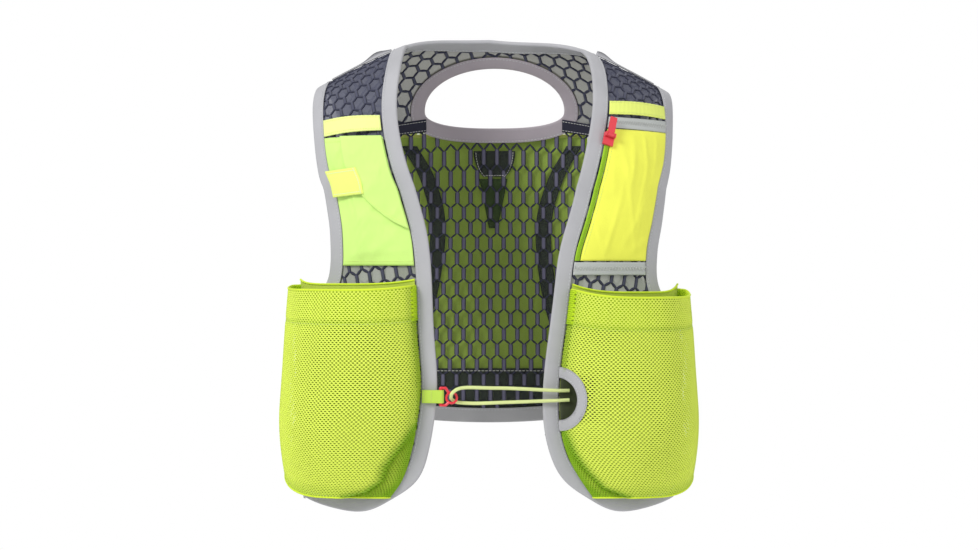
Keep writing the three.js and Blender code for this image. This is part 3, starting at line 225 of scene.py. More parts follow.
# Tables, as in the part. Of a front: drop, and x of the inner and outer tape as shares of the half width.
FRONT_R = [
    (0.0, 0.475, 0.88), (0.35, 0.505, 0.9), (0.64, 0.525, 0.89), (0.9, 0.475, 0.86), (1.04, 0.41, 0.815),
    (1.15, 0.36, 0.79), (1.28, 0.34, 0.8), (1.36, 0.335, 0.88), (1.44, 0.33, 0.95), (1.6, 0.31, 0.96),
    (1.7, 0.325, 0.96), (1.8, 0.355, 0.96), (1.9, 0.41, 0.97), (2.0, 0.53, 0.94),
]
FRONT_L = [
    (0.0, 0.525, 0.925), (0.28, 0.575, 0.945), (0.6, 0.585, 0.945), (0.84, 0.545, 0.93), (1.0, 0.5, 0.9),
    (1.1, 0.455, 0.875), (1.2, 0.405, 0.845), (1.3, 0.385, 0.85), (1.4, 0.365, 0.93), (1.53, 0.335, 0.96),
    (1.65, 0.32, 0.96), (1.76, 0.335, 0.96), (1.86, 0.395, 0.96), (2.0, 0.55, 0.94),
]
RIDGE, HEM_EDGE, FRONT_ARM_FOOT = 0.006, 1.995, 1.4
# Of the yoke: way round, x share, drop, and the turn round the cutout that belongs to it
YOKE_EDGE = [
    (0, -0.8, 0.665, 2.4), (0.1, -0.85, 0.34, 2.2), (0.2, -0.915, RIDGE, 2.0), (0.28, -0.69, RIDGE, 1.8),
    (0.36, -0.44, RIDGE, 1.6), (0.64, 0.49, RIDGE, 0.4), (0.72, 0.73, RIDGE, 0.2), (0.8, 0.95, RIDGE, 0.0),
    (0.85, 0.925, 0.16, -0.1), (0.9, 0.885, 0.34, -0.2), (1, 0.83, 0.665, -0.4),
]
CUTOUT = {"x": 5, "z": -26, "half": 64.5, "up": 38.5, "down": 16.5}
# Of the back panel: way round, x share, height share, and the turn round the cutout
BACK_EDGE = [
    (0, 0.83, 0.103, -0.4), (0.08, 0.78, 0.237, -0.44), (0.14, 0.78, 0.368, -0.48), (0.2, 0.84, 0.487, -0.52),
    (0.25, 0.92, 0.566, -0.57), (0.33, 0.9, 0.69, -0.64), (0.4, 0.86, 0.771, -0.72), (0.5, 0, 0.813, -1.0),
    (0.6, -0.86, 0.771, -1.28), (0.67, -0.9, 0.69, -1.36), (0.75, -0.91, 0.566, -1.43),
    (0.8, -0.82, 0.487, -1.48), (0.86, -0.76, 0.368, -1.52), (0.92, -0.75, 0.237, -1.56),
    (1, -0.8, 0.103, -1.6),
]
# The back hem's height at its sides and middle, as shares of the hem's
HEM_SIDE, HEM_MIDDLE = 0.771, 0.813
# Each bottle pocket's rim, how far its ends stand above it, and its back wall's rim
BOTTLE = {-1: (-188, 4, -183), 1: (-194.5, 7, -190)}
BOTTLE_DEPTH, BOTTLE_EDGE, BOTTLE_LIFT, BOTTLE_BOTTOM = 40, 5.5, 3.3, -364
WINDOW_X, WINDOW_Z, WINDOW_R, WINDOW_TALL, WINDOW_CLEAR = 58, -280, 15.5, 1.12, 3.6


def edges_of(sign):
    return FRONT_R if sign < 0 else FRONT_L


def from_tape(sign, column, d, distance):
    """The girth at that distance from the middle of a front panel's tape."""
    d = np.asarray(d, float)

    def middle(at):
        return girth_of(sign * HALF_WIDTH * read(edges_of(sign), column, at), at)

    here = middle(d)
    high = np.maximum(d - 0.02, 0)
    run = form(middle(d + 0.02), d + 0.02) - form(middle(high), high)
    around, _, out = slopes(here, d)
    side = np.cross(out, run)
    side /= np.linalg.norm(side, axis=-1, keepdims=True)
    size = np.linalg.norm(around, axis=-1)
    square = np.maximum(np.abs((side * around).sum(-1) / size), 0.5)
    return here + distance / square / size


# Mesh helpers
def make(name, points, faces, material, uv=None, tone=None):
    """A mesh piece of quads from points in mm. The per-point value is a number that its material may read: painted
    shade on the lime mesh, the dark border on the knit's ribs.
    """
    mesh = bpy.data.meshes.new(name)
    mesh.vertices.add(len(points))
    mesh.vertices.foreach_set("co", (np.asarray(points, float) * MM).ravel())
    mesh.loops.add(faces.size)
    mesh.loops.foreach_set("vertex_index", faces.ravel().astype(np.int32))
    mesh.polygons.add(len(faces))
    mesh.polygons.foreach_set("loop_start", np.arange(0, faces.size, 4, dtype=np.int32))
    mesh.polygons.foreach_set("loop_total", np.full(len(faces), 4, np.int32))
    mesh.update(calc_edges=True)
    mesh.validate()
    mesh.polygons.foreach_set("use_smooth", np.ones(len(mesh.polygons), bool))
    if uv is not None:
        layer = mesh.uv_layers.new(name="UVMap")
        index = np.zeros(len(mesh.loops), np.int32)
        mesh.loops.foreach_get("vertex_index", index)
        layer.data.foreach_set("uv", (np.asarray(uv, float)[index] * MM).ravel())
    if tone is not None:
        attribute = mesh.attributes.new("tone", "FLOAT", "POINT")
        attribute.data.foreach_set("value", np.asarray(tone, float))
    mesh.materials.append(material)
    piece = bpy.data.objects.new(name, mesh)
    bpy.context.collection.objects.link(piece)
    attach(piece, "vest")
    return piece


def steps_along(line):
    """The length along a line of points, at each of them."""
    return np.concatenate([[0], np.cumsum(np.linalg.norm(np.diff(line, axis=0), axis=1))])


def grid_faces(rows, columns, start=0, flip=False, ring=False):
    i, j = np.meshgrid(np.arange(rows if ring else rows - 1), np.arange(columns - 1), indexing="ij")
    n = (i + 1) % rows
    a, b = start + i * columns + j, start + n * columns + j
    quads = np.stack([a, b, b + 1, a + 1], -1).reshape(-1, 4)
    return quads[:, ::-1] if flip else quads


def shell(name, outer, inner, uv, material, outward=False):
    """A closed piece from two grids of points, with a rim between them."""
    rows, columns = outer.shape[:2]
    count = rows * columns
    rim = np.concatenate([
        np.arange(columns), np.arange(1, rows) * columns + columns - 1,
        (rows - 1) * columns + np.arange(columns - 2, -1, -1), np.arange(rows - 2, 0, -1) * columns,
    ])
    after = np.roll(rim, -1)
    side = np.stack([rim, rim + count, after + count, after], -1)
    if outward:
        side = side[:, ::-1]
    faces = np.vstack([grid_faces(rows, columns), grid_faces(rows, columns, count, True), side])
    points = np.vstack([outer.reshape(-1, 3), inner.reshape(-1, 3)])
    return make(name, points, faces, material, uv=np.tile(uv.reshape(-1, 2), (2, 1)))


def body_uv(g, d):
    return np.stack([arc(g), length_down(d)], -1)


def sheet(name, g, d, top, material):
    """A cloth on a grid of places, with soft edges. Its outer face lies at the lift top."""
    soft = np.full(g.shape, SOFT_EDGE)
    soft[1:-1, 1:-1] = 0
    return shell(name, skin(g, d, top - soft), skin(g, d, top - CLOTH + soft), body_uv(g, d), material, True)


def tubes(name, lines, radius, material, sides=5):
    """Thin tubes along lines of points, as one piece."""
    points, faces, start = [], [], 0
    angles = np.arange(sides) * 2 * math.pi / sides
    for line in lines:
        line = np.asarray(line, float)
        run = runs(line)
        helper = np.where(np.abs(run[:, 2:]) < 0.8, [0, 0, 1.0], [1.0, 0, 0])
        one = np.cross(run, helper)
        one /= np.linalg.norm(one, axis=1, keepdims=True)
        two = np.cross(run, one)
        ring = (line[:, None] + radius * (np.cos(angles)[None, :, None] * one[:, None]
                                          + np.sin(angles)[None, :, None] * two[:, None]))
        count = len(line)
        points.append(ring.reshape(-1, 3))
        i, k = np.meshgrid(np.arange(count - 1), np.arange(sides), indexing="ij")
        m = (k + 1) % sides
        a = start + i * sides
        faces.append(np.stack([a + k, a + m, a + sides + m, a + sides + k], -1).reshape(-1, 4))
        start += count * sides
    return make(name, np.vstack(points), np.vstack(faces), material)


def dashes(line, normal, pitch=3.0):
    """Short stitches along a line of points, bowed out a little along the normals."""
    line = np.asarray(line, float)
    normal = np.broadcast_to(normal, line.shape)
    at = steps_along(line)
    out = []
    for k in range(int(at[-1] / pitch)):
        s = (k + STITCH_START + np.array([0, 0.5, 1]) * STITCH_PART) * pitch
        p = np.stack([np.interp(s, at, line[:, i]) for i in range(3)], -1)
        n = np.stack([np.interp(s, at, normal[:, i]) for i in range(3)], -1)
        out.append(p + n * np.array([[-STITCH_SINK], [STITCH_BOW], [-STITCH_SINK]]))
    return out


stitch_lines = {"grey": [], "white": [], "lime": []}


def stitch(colour, g, d, lift, pitch=3.0, inner=False):
    line = skin(g, d, lift)
    normal = slopes(g, d)[2] * (-1 if inner else 1)
    stitch_lines[colour] += dashes(line, normal, pitch)


# Materials
def linear(r, g, b):
    return tuple(((c / 255 + 0.055) / 1.055) ** 2.4 if c > 10 else c / 255 / 12.92 for c in (r, g, b)) + (1,)


class Nodes:
    """A short way to write a node material."""

    def __init__(self, name, specular=None, **values):
        self.material = bpy.data.materials.new(name)
        self.material.use_nodes = True
        self.tree = self.material.node_tree
        self.shader = self.tree.nodes["Principled BSDF"]
        for key, value in values.items():
            self.shader.inputs[key.replace("_", " ")].default_value = value
        if specular is not None:
            self.shader.inputs["Specular IOR Level"].default_value = specular

    def add(self, kind, **settings):
        node = self.tree.nodes.new(f"ShaderNode{kind}")
        for key, value in settings.items():
            setattr(node, key, value)
        return node

    def feed(self, sockets, values):
        """Each value is a number or a colour, or another node's output."""
        for socket, value in zip(sockets, values):
            if isinstance(value, bpy.types.NodeSocket):
                self.link(value, socket)
            else:
                socket.default_value = value

    def link(self, a, b):
        self.tree.links.new(a, b)

    def math(self, operation, a, b=0.0, c=0.0):
        node = self.add("Math", operation=operation)
        self.feed(node.inputs, (a, b, c))
        return node.outputs[0]

    def coordinates(self, kind="Object"):
        """Coordinates in mm."""
        source = self.add("TexCoord").outputs[kind]
        mapping = self.add("Mapping")
        mapping.inputs["Scale"].default_value = (1 / MM, 1 / MM, 1 / MM)
        self.link(source, mapping.inputs["Vector"])
        return mapping.outputs[0]

    def split(self, vector):
        node = self.add("SeparateXYZ")
        self.link(vector, node.inputs[0])
        return node.outputs

    def noise(self, vector, scale, detail=3):
        node = self.add("TexNoise")
        node.inputs["Scale"].default_value = scale
        node.inputs["Detail"].default_value = detail
        self.link(vector, node.inputs["Vector"])
        return node.outputs["Fac"]

    def ramp(self, value, stops):
        node = self.add("ValToRGB")
        elements = node.color_ramp.elements
        while len(elements) < len(stops):
            elements.new(0.5)
        for element, (at, colour) in zip(elements, stops):
            element.position = at
            element.color = colour
        self.link(value, node.inputs[0])
        return node.outputs[0]

    def mix(self, factor, a, b):
        node = self.add("Mix", data_type="RGBA")
        self.feed((node.inputs[0], node.inputs[6], node.inputs[7]), (factor, a, b))
        return node.outputs[2]

    def colour(self, value):
        self.link(value, self.shader.inputs["Base Color"])

    def bump(self, height, distance, strength=0.6):
        node = self.add("Bump")
        node.inputs["Strength"].default_value = strength
        node.inputs["Distance"].default_value = distance * MM
        self.link(height, node.inputs["Height"])
        self.link(node.outputs[0], self.shader.inputs["Normal"])

    def tone(self):
        return self.add("Attribute", attribute_name="tone").outputs["Fac"]


def darker(colour, share):
    return tuple(c * share for c in colour[:3]) + (1,)


WEFT = 0.9


def woven(name, colour, pitch=0.9, strength=0.6, shade=0.8):
    """Woven or knitted cloth: ribs of that pitch in mm along and across, with slow changes of colour."""
    colour = linear(*colour)
    n = Nodes(name, 0.25, Roughness=0.8, Sheen_Weight=0.05, Sheen_Roughness=0.5)
    x, y, _ = n.split(n.coordinates("UV"))
    a = n.math("SINE", n.math("MULTIPLY", x, 2 * math.pi / pitch))
    b = n.math("SINE", n.math("MULTIPLY", y, 2 * math.pi / (pitch * WEFT)))
    cell = n.math("MULTIPLY_ADD", n.math("MULTIPLY", a, b), 0.5, 0.5)
    slow = n.noise(n.coordinates("Object"), 0.035, 4)
    wide = n.mix(n.math("MULTIPLY_ADD", slow, 1.6, -0.3), darker(colour, shade), colour)
    n.colour(n.mix(n.math("MULTIPLY", cell, 0.28), wide, darker(colour, 0.62)))
    n.bump(cell, pitch * 0.16, strength)
    return n.material


def plain(name, colour, rough):
    """A smooth or slightly dented surface."""
    colour = linear(*colour)
    n = Nodes(name, Base_Color=colour, Roughness=rough)
    slow = n.noise(n.coordinates("Object"), 0.4, 3)
    n.colour(n.mix(slow, darker(colour, 0.88), colour))
    n.bump(n.noise(n.coordinates("Object"), 2.2, 2), 0.05, 0.3)
    return n.material


grey_tape = woven("grey_tape", (184, 184, 188), pitch=0.8, shade=0.86)
mauve_tape = woven("cutout_tape", (180, 171, 178), pitch=0.8, shade=0.86)
hem_tape = woven("hem_tape", (180, 180, 182), pitch=0.8)
grey_band = woven("grey_band", (190, 194, 192), pitch=1.1, shade=0.9)
pale_cloth = woven("pale_lime_cloth", (214, 252, 138), pitch=0.7, strength=0.35, shade=0.86)
pale_band = woven("pale_elastic", (244, 255, 158), pitch=1.2, strength=0.8, shade=0.9)
tab_cloth = woven("tab_cloth", (238, 255, 130), pitch=0.8, shade=0.93)
yellow_cloth = woven("yellow_cloth", (252, 255, 96), pitch=0.7, strength=0.35, shade=0.86)
yellow_band = woven("yellow_elastic", (242, 255, 128), pitch=1.2, strength=0.8, shade=0.88)
zip_green = woven("zip_cloth", (168, 214, 50), pitch=0.6)
webbing = woven("webbing", (200, 232, 92), pitch=1.3, strength=0.9)
olive_lining = woven("olive_lining", (66, 72, 52), pitch=0.9)
green_strap = woven("green_strap", (58, 84, 40), pitch=0.9)
dark_cloth = woven("dark_cloth", (46, 46, 62), pitch=0.9)
lime_rim = woven("lime_rim", (220, 244, 60), pitch=1.4, strength=0.7, shade=0.88)
cord_cloth = woven("cord_cloth", (240, 252, 172), pitch=0.9, strength=0.8)
red_gloss = plain("red_moulded", (232, 52, 66), 0.32)
red_paint = plain("red_painted", (226, 62, 74), 0.38)
thread = {
    "grey": plain("grey_thread", (205, 208, 210), 0.7),
    "white": plain("white_thread", (232, 232, 228), 0.7),
    "lime": plain("lime_thread", (226, 240, 140), 0.7),
}


def rib_material(name, middle, border):
    """The knit's thick ribs: a lighter middle between dark borders, with fine courses across."""
    n = Nodes(name, 0.2, Roughness=0.85, Sheen_Weight=0.1)
    tone = n.tone()
    courses = n.math("SINE", n.math("MULTIPLY", n.split(n.coordinates("UV"))[1], 2 * math.pi / 0.8))
    base = n.ramp(tone, [(0.0, middle), (0.45, middle), (0.85, border)])
    n.colour(n.mix(n.math("MULTIPLY_ADD", courses, 0.12, 0.12), base, darker(border, 0.8)))
    n.bump(courses, 0.12, 0.6)
    return n.material


def net_material(name, heights, cover):
    """The fine net in the knit's cells, partly seen through. Its colour follows a table of heights in mm."""
    n = Nodes(name, 0.1, Roughness=0.9)
    x, y, _ = n.split(n.coordinates("UV"))
    a = n.math("ABSOLUTE", n.math("SINE", n.math("MULTIPLY", x, math.pi / 1.1)))
    b = n.math("ABSOLUTE", n.math("SINE", n.math("MULTIPLY", y, math.pi / 0.9)))
    hole = n.math("GREATER_THAN", n.math("MULTIPLY", a, b), 0.62)
    spot = n.coordinates("Object")
    low, high = heights[0][0], heights[-1][0]
    share = n.math("DIVIDE", n.math("SUBTRACT", n.split(spot)[2], low), high - low)
    slow = n.noise(spot, 0.05, 3)
    colour = n.ramp(n.math("MULTIPLY_ADD", slow, 0.16, n.math("SUBTRACT", share, 0.08)),
                    [((z - low) / (high - low), value) for z, value in heights])
    n.colour(n.mix(n.math("MULTIPLY", hole, 0.25), colour, linear(60, 62, 72)))
    n.link(n.math("MULTIPLY_ADD", hole, -cover * 0.3, cover), n.shader.inputs["Alpha"])
    return n.material


def lattice_material(name, colour, shade_colour):
    """Lime stretch mesh: a per-point value mixes in a darker colour, the painted shade of its folds, gussets, edges,
    foot and holes.
    """
    n = Nodes(name, 0.25, Roughness=0.7, Sheen_Weight=0.04)
    slow = n.noise(n.coordinates("Object"), 0.03, 4)
    base = n.mix(slow, darker(colour, 0.9), colour)
    # Painted shade: the per-point value darkens the colour towards the shade colour.
    n.colour(n.mix(n.tone(), base, shade_colour))
    n.bump(n.noise(n.coordinates("Object"), 3.5, 2), 0.1, 0.4)
    return n.material


rib_slate = rib_material("rib_slate", linear(110, 108, 130), linear(42, 42, 60))
rib_dark = rib_material("rib_dark", linear(78, 80, 98), linear(48, 50, 66))
rib_thin = rib_material("rib_thin", linear(58, 60, 78), linear(38, 40, 56))
net_front = net_material("net_front", [(-200, linear(172, 174, 168)), (-150, linear(138, 140, 134)),
                                       (-45, linear(96, 98, 112)), (0, linear(84, 86, 102))], 0.96)
net_yoke = net_material("net_yoke", [(-60, linear(112, 114, 110)), (20, linear(138, 138, 126)),
                                     (40, linear(100, 103, 106))], 0.94)
net_back = net_material("net_back", [(-300, linear(84, 96, 66)), (-50, linear(84, 96, 66))], 0.3)
# The second colour of each lime mesh is painted shade, mixed in at folds, gussets, edges, the foot and the holes.
lime_mesh = lattice_material("lime_mesh", linear(226, 243, 94), linear(128, 176, 12))
lime_hem = lattice_material("lime_hem", linear(212, 240, 40), linear(128, 176, 12))
# The bottle pockets' back wall is the same lime mesh in a darker colour: painted shade inside the pocket.
shaded_lime_wall = woven("shaded_lime_wall", (196, 214, 84), pitch=1.6, strength=0.8, shade=0.85)
lime_inside = woven("lime_inside", (212, 246, 104), pitch=1.6, strength=0.8, shade=0.8)


# Tapes
# The folded tape's section: shares of its width from the edge, and lifts in mm
TAPE_SECTION = np.array([
    (1.0, 1.9), (1.0, 2.4), (0.975, 2.58), (0.9, 2.62), (0.86, 2.52), (0.82, 2.62), (0.5, 2.66), (0.1, 2.64),
    (-0.02, 2.5), (-0.07, 2.1), (-0.092, 1.5), (-0.096, 0.75), (-0.092, 0), (-0.07, -0.6), (-0.02, -1.0),
    (0.1, -1.14), (0.5, -1.16), (0.82, -1.12), (0.86, -1.02), (0.9, -1.12), (0.975, -1.08), (1.0, -0.9),
    (1.0, -0.4),
])
SEW_SHARE, SEW_OUTSIDE, SEW_INSIDE = 0.86, 2.62, -1.12
KEYS = {-1: "r", 1: "l"}
HALF_TAPE = TAPE_WIDTH / 2
TINY_DROP = 0.0005


def tape(name, node, edge, end, material, ring=False):
    """Tape folded over an edge. The edge and the end are (girths, drops)."""
    (eg, ed), (ng, nd) = edge, end
    shares, lifts = TAPE_SECTION.T
    g = eg[:, None] + (ng - eg)[:, None] * shares
    d = np.maximum(ed[:, None] + (nd - ed)[:, None] * shares, TINY_DROP)
    at = steps_along(form((eg + ng) / 2, (ed + nd) / 2))
    cross = steps_along(TAPE_SECTION * (TAPE_WIDTH, 1))
    uv = np.stack(np.broadcast_arrays(at[:, None], cross), -1).reshape(-1, 2)
    faces = grid_faces(len(eg), len(shares), ring=ring)
    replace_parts(make(name, skin(g, d, lifts).reshape(-1, 3), faces, material, uv=uv), node)
    sg, sd = eg + (ng - eg) * SEW_SHARE, np.maximum(ed + (nd - ed) * SEW_SHARE, 2 * TINY_DROP)
    if ring:
        sg, sd = np.append(sg, sg[0]), np.append(sd, sd[0])
    stitch("grey", sg, sd, SEW_OUTSIDE)
    stitch("grey", sg, sd, SEW_INSIDE, inner=True)


def front_path(sign):
    """The free edge of a front: down its inner side, round the corner and out along the hem."""
    drops = np.linspace(RIDGE, 1.9, 140)
    inner = from_tape(sign, 1, drops, -sign * HALF_TAPE)
    t = np.linspace(0.22, 1, 60)
    a, b = from_tape(sign, 1, HEM_EDGE, -sign * HALF_TAPE), from_tape(sign, 2, HEM_EDGE, sign * HALF_TAPE)
    g = np.concatenate([inner, a + (b - a) * t])
    d = np.concatenate([drops, HEM_EDGE - 0.045 * t ** 1.6])
    u, v = arc(g), length_down(d)
    at = steps_along(np.stack([u, v], -1))
    even = np.linspace(0, at[-1], int(at[-1] / 2))
    g, d = np.interp(even, at, g), np.interp(even, at, d)
    for _ in range(2):
        g, d = softened(g, d, 6)
    return g, d


def front_tapes(sign):
    key = KEYS[sign]
    g, d = front_path(sign)
    d = np.maximum(d, RIDGE)
    ng, nd = walk(g, d, runs(form(g, d)), sign * TAPE_WIDTH)
    nd = np.maximum(nd, RIDGE)
    # the hem's tape starts just past the lowest point of the corner
    turn = int(np.argmax(d)) + 4
    parts = (("front", "edge_tape", slice(0, turn + 1)), ("hem", "front_hem_tape", slice(turn, None)))
    for name, node, part in parts:
        tape(f"binding_{name}_{key}", f"{node}_{key}", (g[part], d[part]), (ng[part], nd[part]), grey_tape)
    drops = np.linspace(RIDGE, FRONT_ARM_FOOT, 100)
    edge, end = (from_tape(sign, 2, drops, side * sign * HALF_TAPE) for side in (1, -1))
    tape(f"binding_arm_{key}", f"armhole_tape_front_{key}", (edge, drops), (end, drops), grey_tape)


# Rings round the cutout
def cutout_edge(turn):
    angle = np.asarray(turn, float) * QUARTER
    above = np.sin(angle) >= -1e-12
    bend = np.where(above, 1, 2 / POWER)
    x = CUTOUT["x"] + CUTOUT["half"] * np.sign(np.cos(angle)) * np.abs(np.cos(angle)) ** bend
    rise = np.abs(np.sin(angle)) ** bend
    z = CUTOUT["z"] + np.where(above, CUTOUT["up"], -CUTOUT["down"]) * rise
    d = drop_of(x, z)
    return girth_of(x, d, True), d


def yoke_edges(rounds):
    share = np.clip((2 * rounds - 1.0) / 0.28, -1, 1)
    d = sample(YOKE_EDGE, 2, rounds) + 0.25 * (1 - share ** 2)
    g = girth_of(HALF_WIDTH * sample(YOKE_EDGE, 1, rounds), d, True)
    return (g, d), cutout_edge(sample(YOKE_EDGE, 3, rounds))


def back_edges(rounds):
    x = HALF_WIDTH * sample(BACK_EDGE, 1, rounds)
    hem = (rounds > 0.4) & (rounds < 0.6)
    sag = HEM_SIDE + (HEM_MIDDLE - HEM_SIDE) * (1 - ((rounds - 0.5) / 0.1) ** 2)
    z = HEM_Z * np.where(hem, sag, sample(BACK_EDGE, 2, rounds))
    d = drop_of(x, z)
    return (girth_of(x, d, True), d), cutout_edge(sample(BACK_EDGE, 3, rounds))


def softened(g, d, width=3):
    """A line of places with its corners rounded a little."""
    kernel = np.ones(2 * width + 1) / (2 * width + 1)

    def soft(v):
        pad = np.concatenate([2 * v[0] - v[width:0:-1], v, 2 * v[-1] - v[-2:-width - 2:-1]])
        return np.convolve(pad, kernel, "valid")

    return soft(g), soft(d)


def back_tapes():
    for name, node, edges, low, high, count, material in (
        ("binding_yoke_arm_r", "armhole_tape_yoke_r", yoke_edges, 0, 0.2, 40, grey_tape),
        ("binding_neck", "neck_tape", yoke_edges, 0.36, 0.64, 90, grey_tape),
        ("binding_yoke_arm_l", "armhole_tape_yoke_l", yoke_edges, 0.8, 1, 40, grey_tape),
        ("binding_back_arm_l", "armhole_tape_back_l", back_edges, 0, 0.25, 70, grey_tape),
        ("binding_back_hem", "back_hem_tape", back_edges, 0.4, 0.6, 110, hem_tape),
        ("binding_back_arm_r", "armhole_tape_back_r", back_edges, 0.75, 1, 70, grey_tape),
    ):
        g, d = softened(*edges(np.linspace(low, high, count))[0])
        tape(name, node, (g, d), walk(g, d, runs(form(g, d)), TAPE_WIDTH), material)
    turns = np.linspace(0, 4, 181)[:-1]
    g, d = cutout_edge(np.where(turns > 2, turns - 4, turns))
    end = walk(g, d, runs(form(g, d), True), TAPE_WIDTH)
    tape("binding_cutout", "cutout_tape", (g, d), end, mauve_tape, ring=True)


# Side wings
WING_TOP, WING_HEM = (1.425, 1.415), (1.89, 1.685)
HEM_WIDTH = TAPE_WIDTH / (CHEST_Z - HEM_Z)


def wing_rows(sign, fronts, backs, columns):
    first = from_tape(sign, 2, fronts, sign * (HALF_TAPE + 0.9))
    z = CHEST_Z + (HEM_Z - CHEST_Z) * (np.asarray(backs) - 1)
    rows = sorted((row[2], row[1]) for row in BACK_EDGE if np.sign(row[1]) == sign)
    x = HALF_WIDTH * np.interp(z / HEM_Z, [r[0] for r in rows], [r[1] for r in rows])
    last = girth_of(x, np.asarray(backs), True)
    if sign < 0:
        last = last - 2 * math.pi
    shares = np.linspace(0, 1, columns)
    g = first[:, None] + (last - first)[:, None] * shares
    d = np.asarray(fronts)[:, None] + (np.asarray(backs) - np.asarray(fronts))[:, None] * shares
    return g, d


def wing(sign):
    key = KEYS[sign]
    t = np.linspace(0, 1, 24)
    g, d = wing_rows(sign, WING_TOP[0] + (WING_HEM[0] - WING_TOP[0]) * t,
                     WING_TOP[1] + (WING_HEM[1] - WING_TOP[1]) * t, 40)
    panel_piece(f"side_wing_{key}", g, d, net_front, turn=0.0)
    for name, node, front, back, step in (
        ("binding_underarm", "underarm_tape", WING_TOP[0], WING_TOP[1], HEM_WIDTH),
        ("binding_side_hem", "side_hem_tape", WING_HEM[0], WING_HEM[1], -HEM_WIDTH),
    ):
        rows = wing_rows(sign, [front, front + step], [back, back + step], 60)
        tape(f"{name}_{key}", f"{node}_{key}", (rows[0][0], rows[1][0]), (rows[0][1], rows[1][1]), grey_tape)


# The open knit
def inside(points, polygon):
    """Which points lie inside a closed polygon."""
    x, y = points.T
    hit = np.zeros(len(points), bool)
    for (x0, y0), (x1, y1) in zip(polygon, np.roll(polygon, -1, 0)):
        if y0 != y1:
            hit ^= ((y0 > y) != (y1 > y)) & (x < (x1 - x0) * (y - y0) / (y1 - y0) + x0)
    return hit


CELL_WIDE, CELL_HIGH, CELL_CAP = 12.1, 13.9, 5.2


# A rib's section: shares of its half width and of its height, and the tone of its border
RIB_SECTION = np.array([
    (-1, 0, 1), (-0.5, 0.9, 0.4), (0, 1, 0), (0.5, 0.9, 0.4), (1, 0, 1), (0.5, -0.9, 0.4), (0, -1, 0),
    (-0.5, -0.9, 0.4),
])
# Each kind of rib: its height in mm, and the stops along it, whose outermost are narrow
RIB_KINDS = (("ribs", 1.05, (-0.09, 0.0, 0.5, 1.0, 1.09)), ("links", 0.85, (-0.06, 0.5, 1.06)))
RIB_TIP = 0.55


def knit(name, outline, turn, wide, high, half, materials):
    """Ribs of tall hexagons on the body, inside an outline in mm around and down."""
    low, top = outline.min(0) - 30, outline.max(0) + 30
    centre = (low + top) / 2
    reach = np.linalg.norm(top - low) / 2
    columns = int(reach / wide) + 2
    lines = int(reach / high) + 2
    cap = CELL_CAP * high / CELL_HIGH
    thick, thin = [], []
    for r in range(-lines, lines + 1):
        for i in range(-columns, columns + 1):
            u, v = (i + 0.5 * (r % 2)) * wide, r * high
            corner = (u, v + cap / 2)
            thick.append((corner, (u, v + high - cap / 2)))
            thin.append((corner, (u + wide / 2, v - cap / 2)))
            thin.append((corner, (u - wide / 2, v - cap / 2)))
    c, s = math.cos(turn), math.sin(turn)
    spin = np.array([[c, s], [-s, c]])
    for ribs, rib_half, material, kind in zip((thick, thin), half, materials, RIB_KINDS):
        label, up, stops = kind
        ends = np.array(ribs) @ spin + centre
        ends = ends[inside(ends[:, 0], outline) & inside(ends[:, 1], outline)]
        run = ends[:, 1] - ends[:, 0]
        size = np.linalg.norm(run, axis=1, keepdims=True)
        run = run / size
        side = np.stack([-run[:, 1], run[:, 0]], -1)
        across, rise, tone = RIB_SECTION.T
        n, m, k = len(ends), len(stops), len(across)
        stop = np.array(stops)
        narrow = np.where((stop < 0) | (stop > 1), RIB_TIP, 1.0)
        place = (ends[:, None, None, 0] + run[:, None, None] * (size[:, None, None] * stop[:, None, None])
                 + side[:, None, None] * (across * rib_half * narrow[:, None])[None, :, :, None])
        g, d = girth_at(place[..., 0]), np.maximum(drop_at(place[..., 1]), TINY_DROP)
        points = skin(g, d, PANEL / 2 + rise * up).reshape(-1, 3)
        i, j, q = np.meshgrid(np.arange(n), np.arange(m - 1), np.arange(k), indexing="ij")
        after = (q + 1) % k
        a = i * m * k + j * k
        faces = np.stack([a + q, a + after, a + k + after, a + k + q], -1).reshape(-1, 4)
        make(f"{name}_{label}", points, faces, material, uv=place.reshape(-1, 2), tone=np.tile(tone, n * m))


def border(g, d):
    """The outline of a grid of places, in mm around and down."""
    uv = body_uv(g, d)
    return np.concatenate([uv[0], uv[1:, -1], uv[-1, -2::-1], uv[-2:0:-1, 0]])


def panel_piece(node, g, d, net, turn, wide=CELL_WIDE, high=CELL_HIGH, half=(1.7, 1.4), materials=None,
                outline=None):
    """The fine net over a whole panel, and its ribs."""
    points = skin(g, np.maximum(d, TINY_DROP), PANEL / 2).reshape(-1, 3)
    uv = body_uv(g, d).reshape(-1, 2)
    faces = grid_faces(*g.shape)
    if outline is None:
        outline = border(g, d)
    else:
        faces = faces[inside(uv, outline)[faces].all(1)]
    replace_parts(make(f"net_{node}", points, faces, net, uv=uv), node)
    knit(node, outline, turn, wide, high, half, materials or (rib_dark, rib_thin))


def front_panel(sign):
    drops = np.linspace(RIDGE, HEM_EDGE, 110)
    inner = from_tape(sign, 1, drops, -sign * HALF_TAPE)
    outer = from_tape(sign, 2, drops, sign * HALF_TAPE)
    edge_g, edge_d = front_path(sign)
    outline = body_uv(np.concatenate([edge_g, outer[::-1]]), np.concatenate([edge_d, drops[::-1]]))
    g = inner[:, None] + (outer - inner)[:, None] * np.linspace(0, 1, 24)
    d = np.repeat(drops[:, None], 24, 1)
    panel_piece(f"front_panel_{KEYS[sign]}", g, d, net_front, sign * 0.2, wide=11.8, high=12.6, outline=outline)


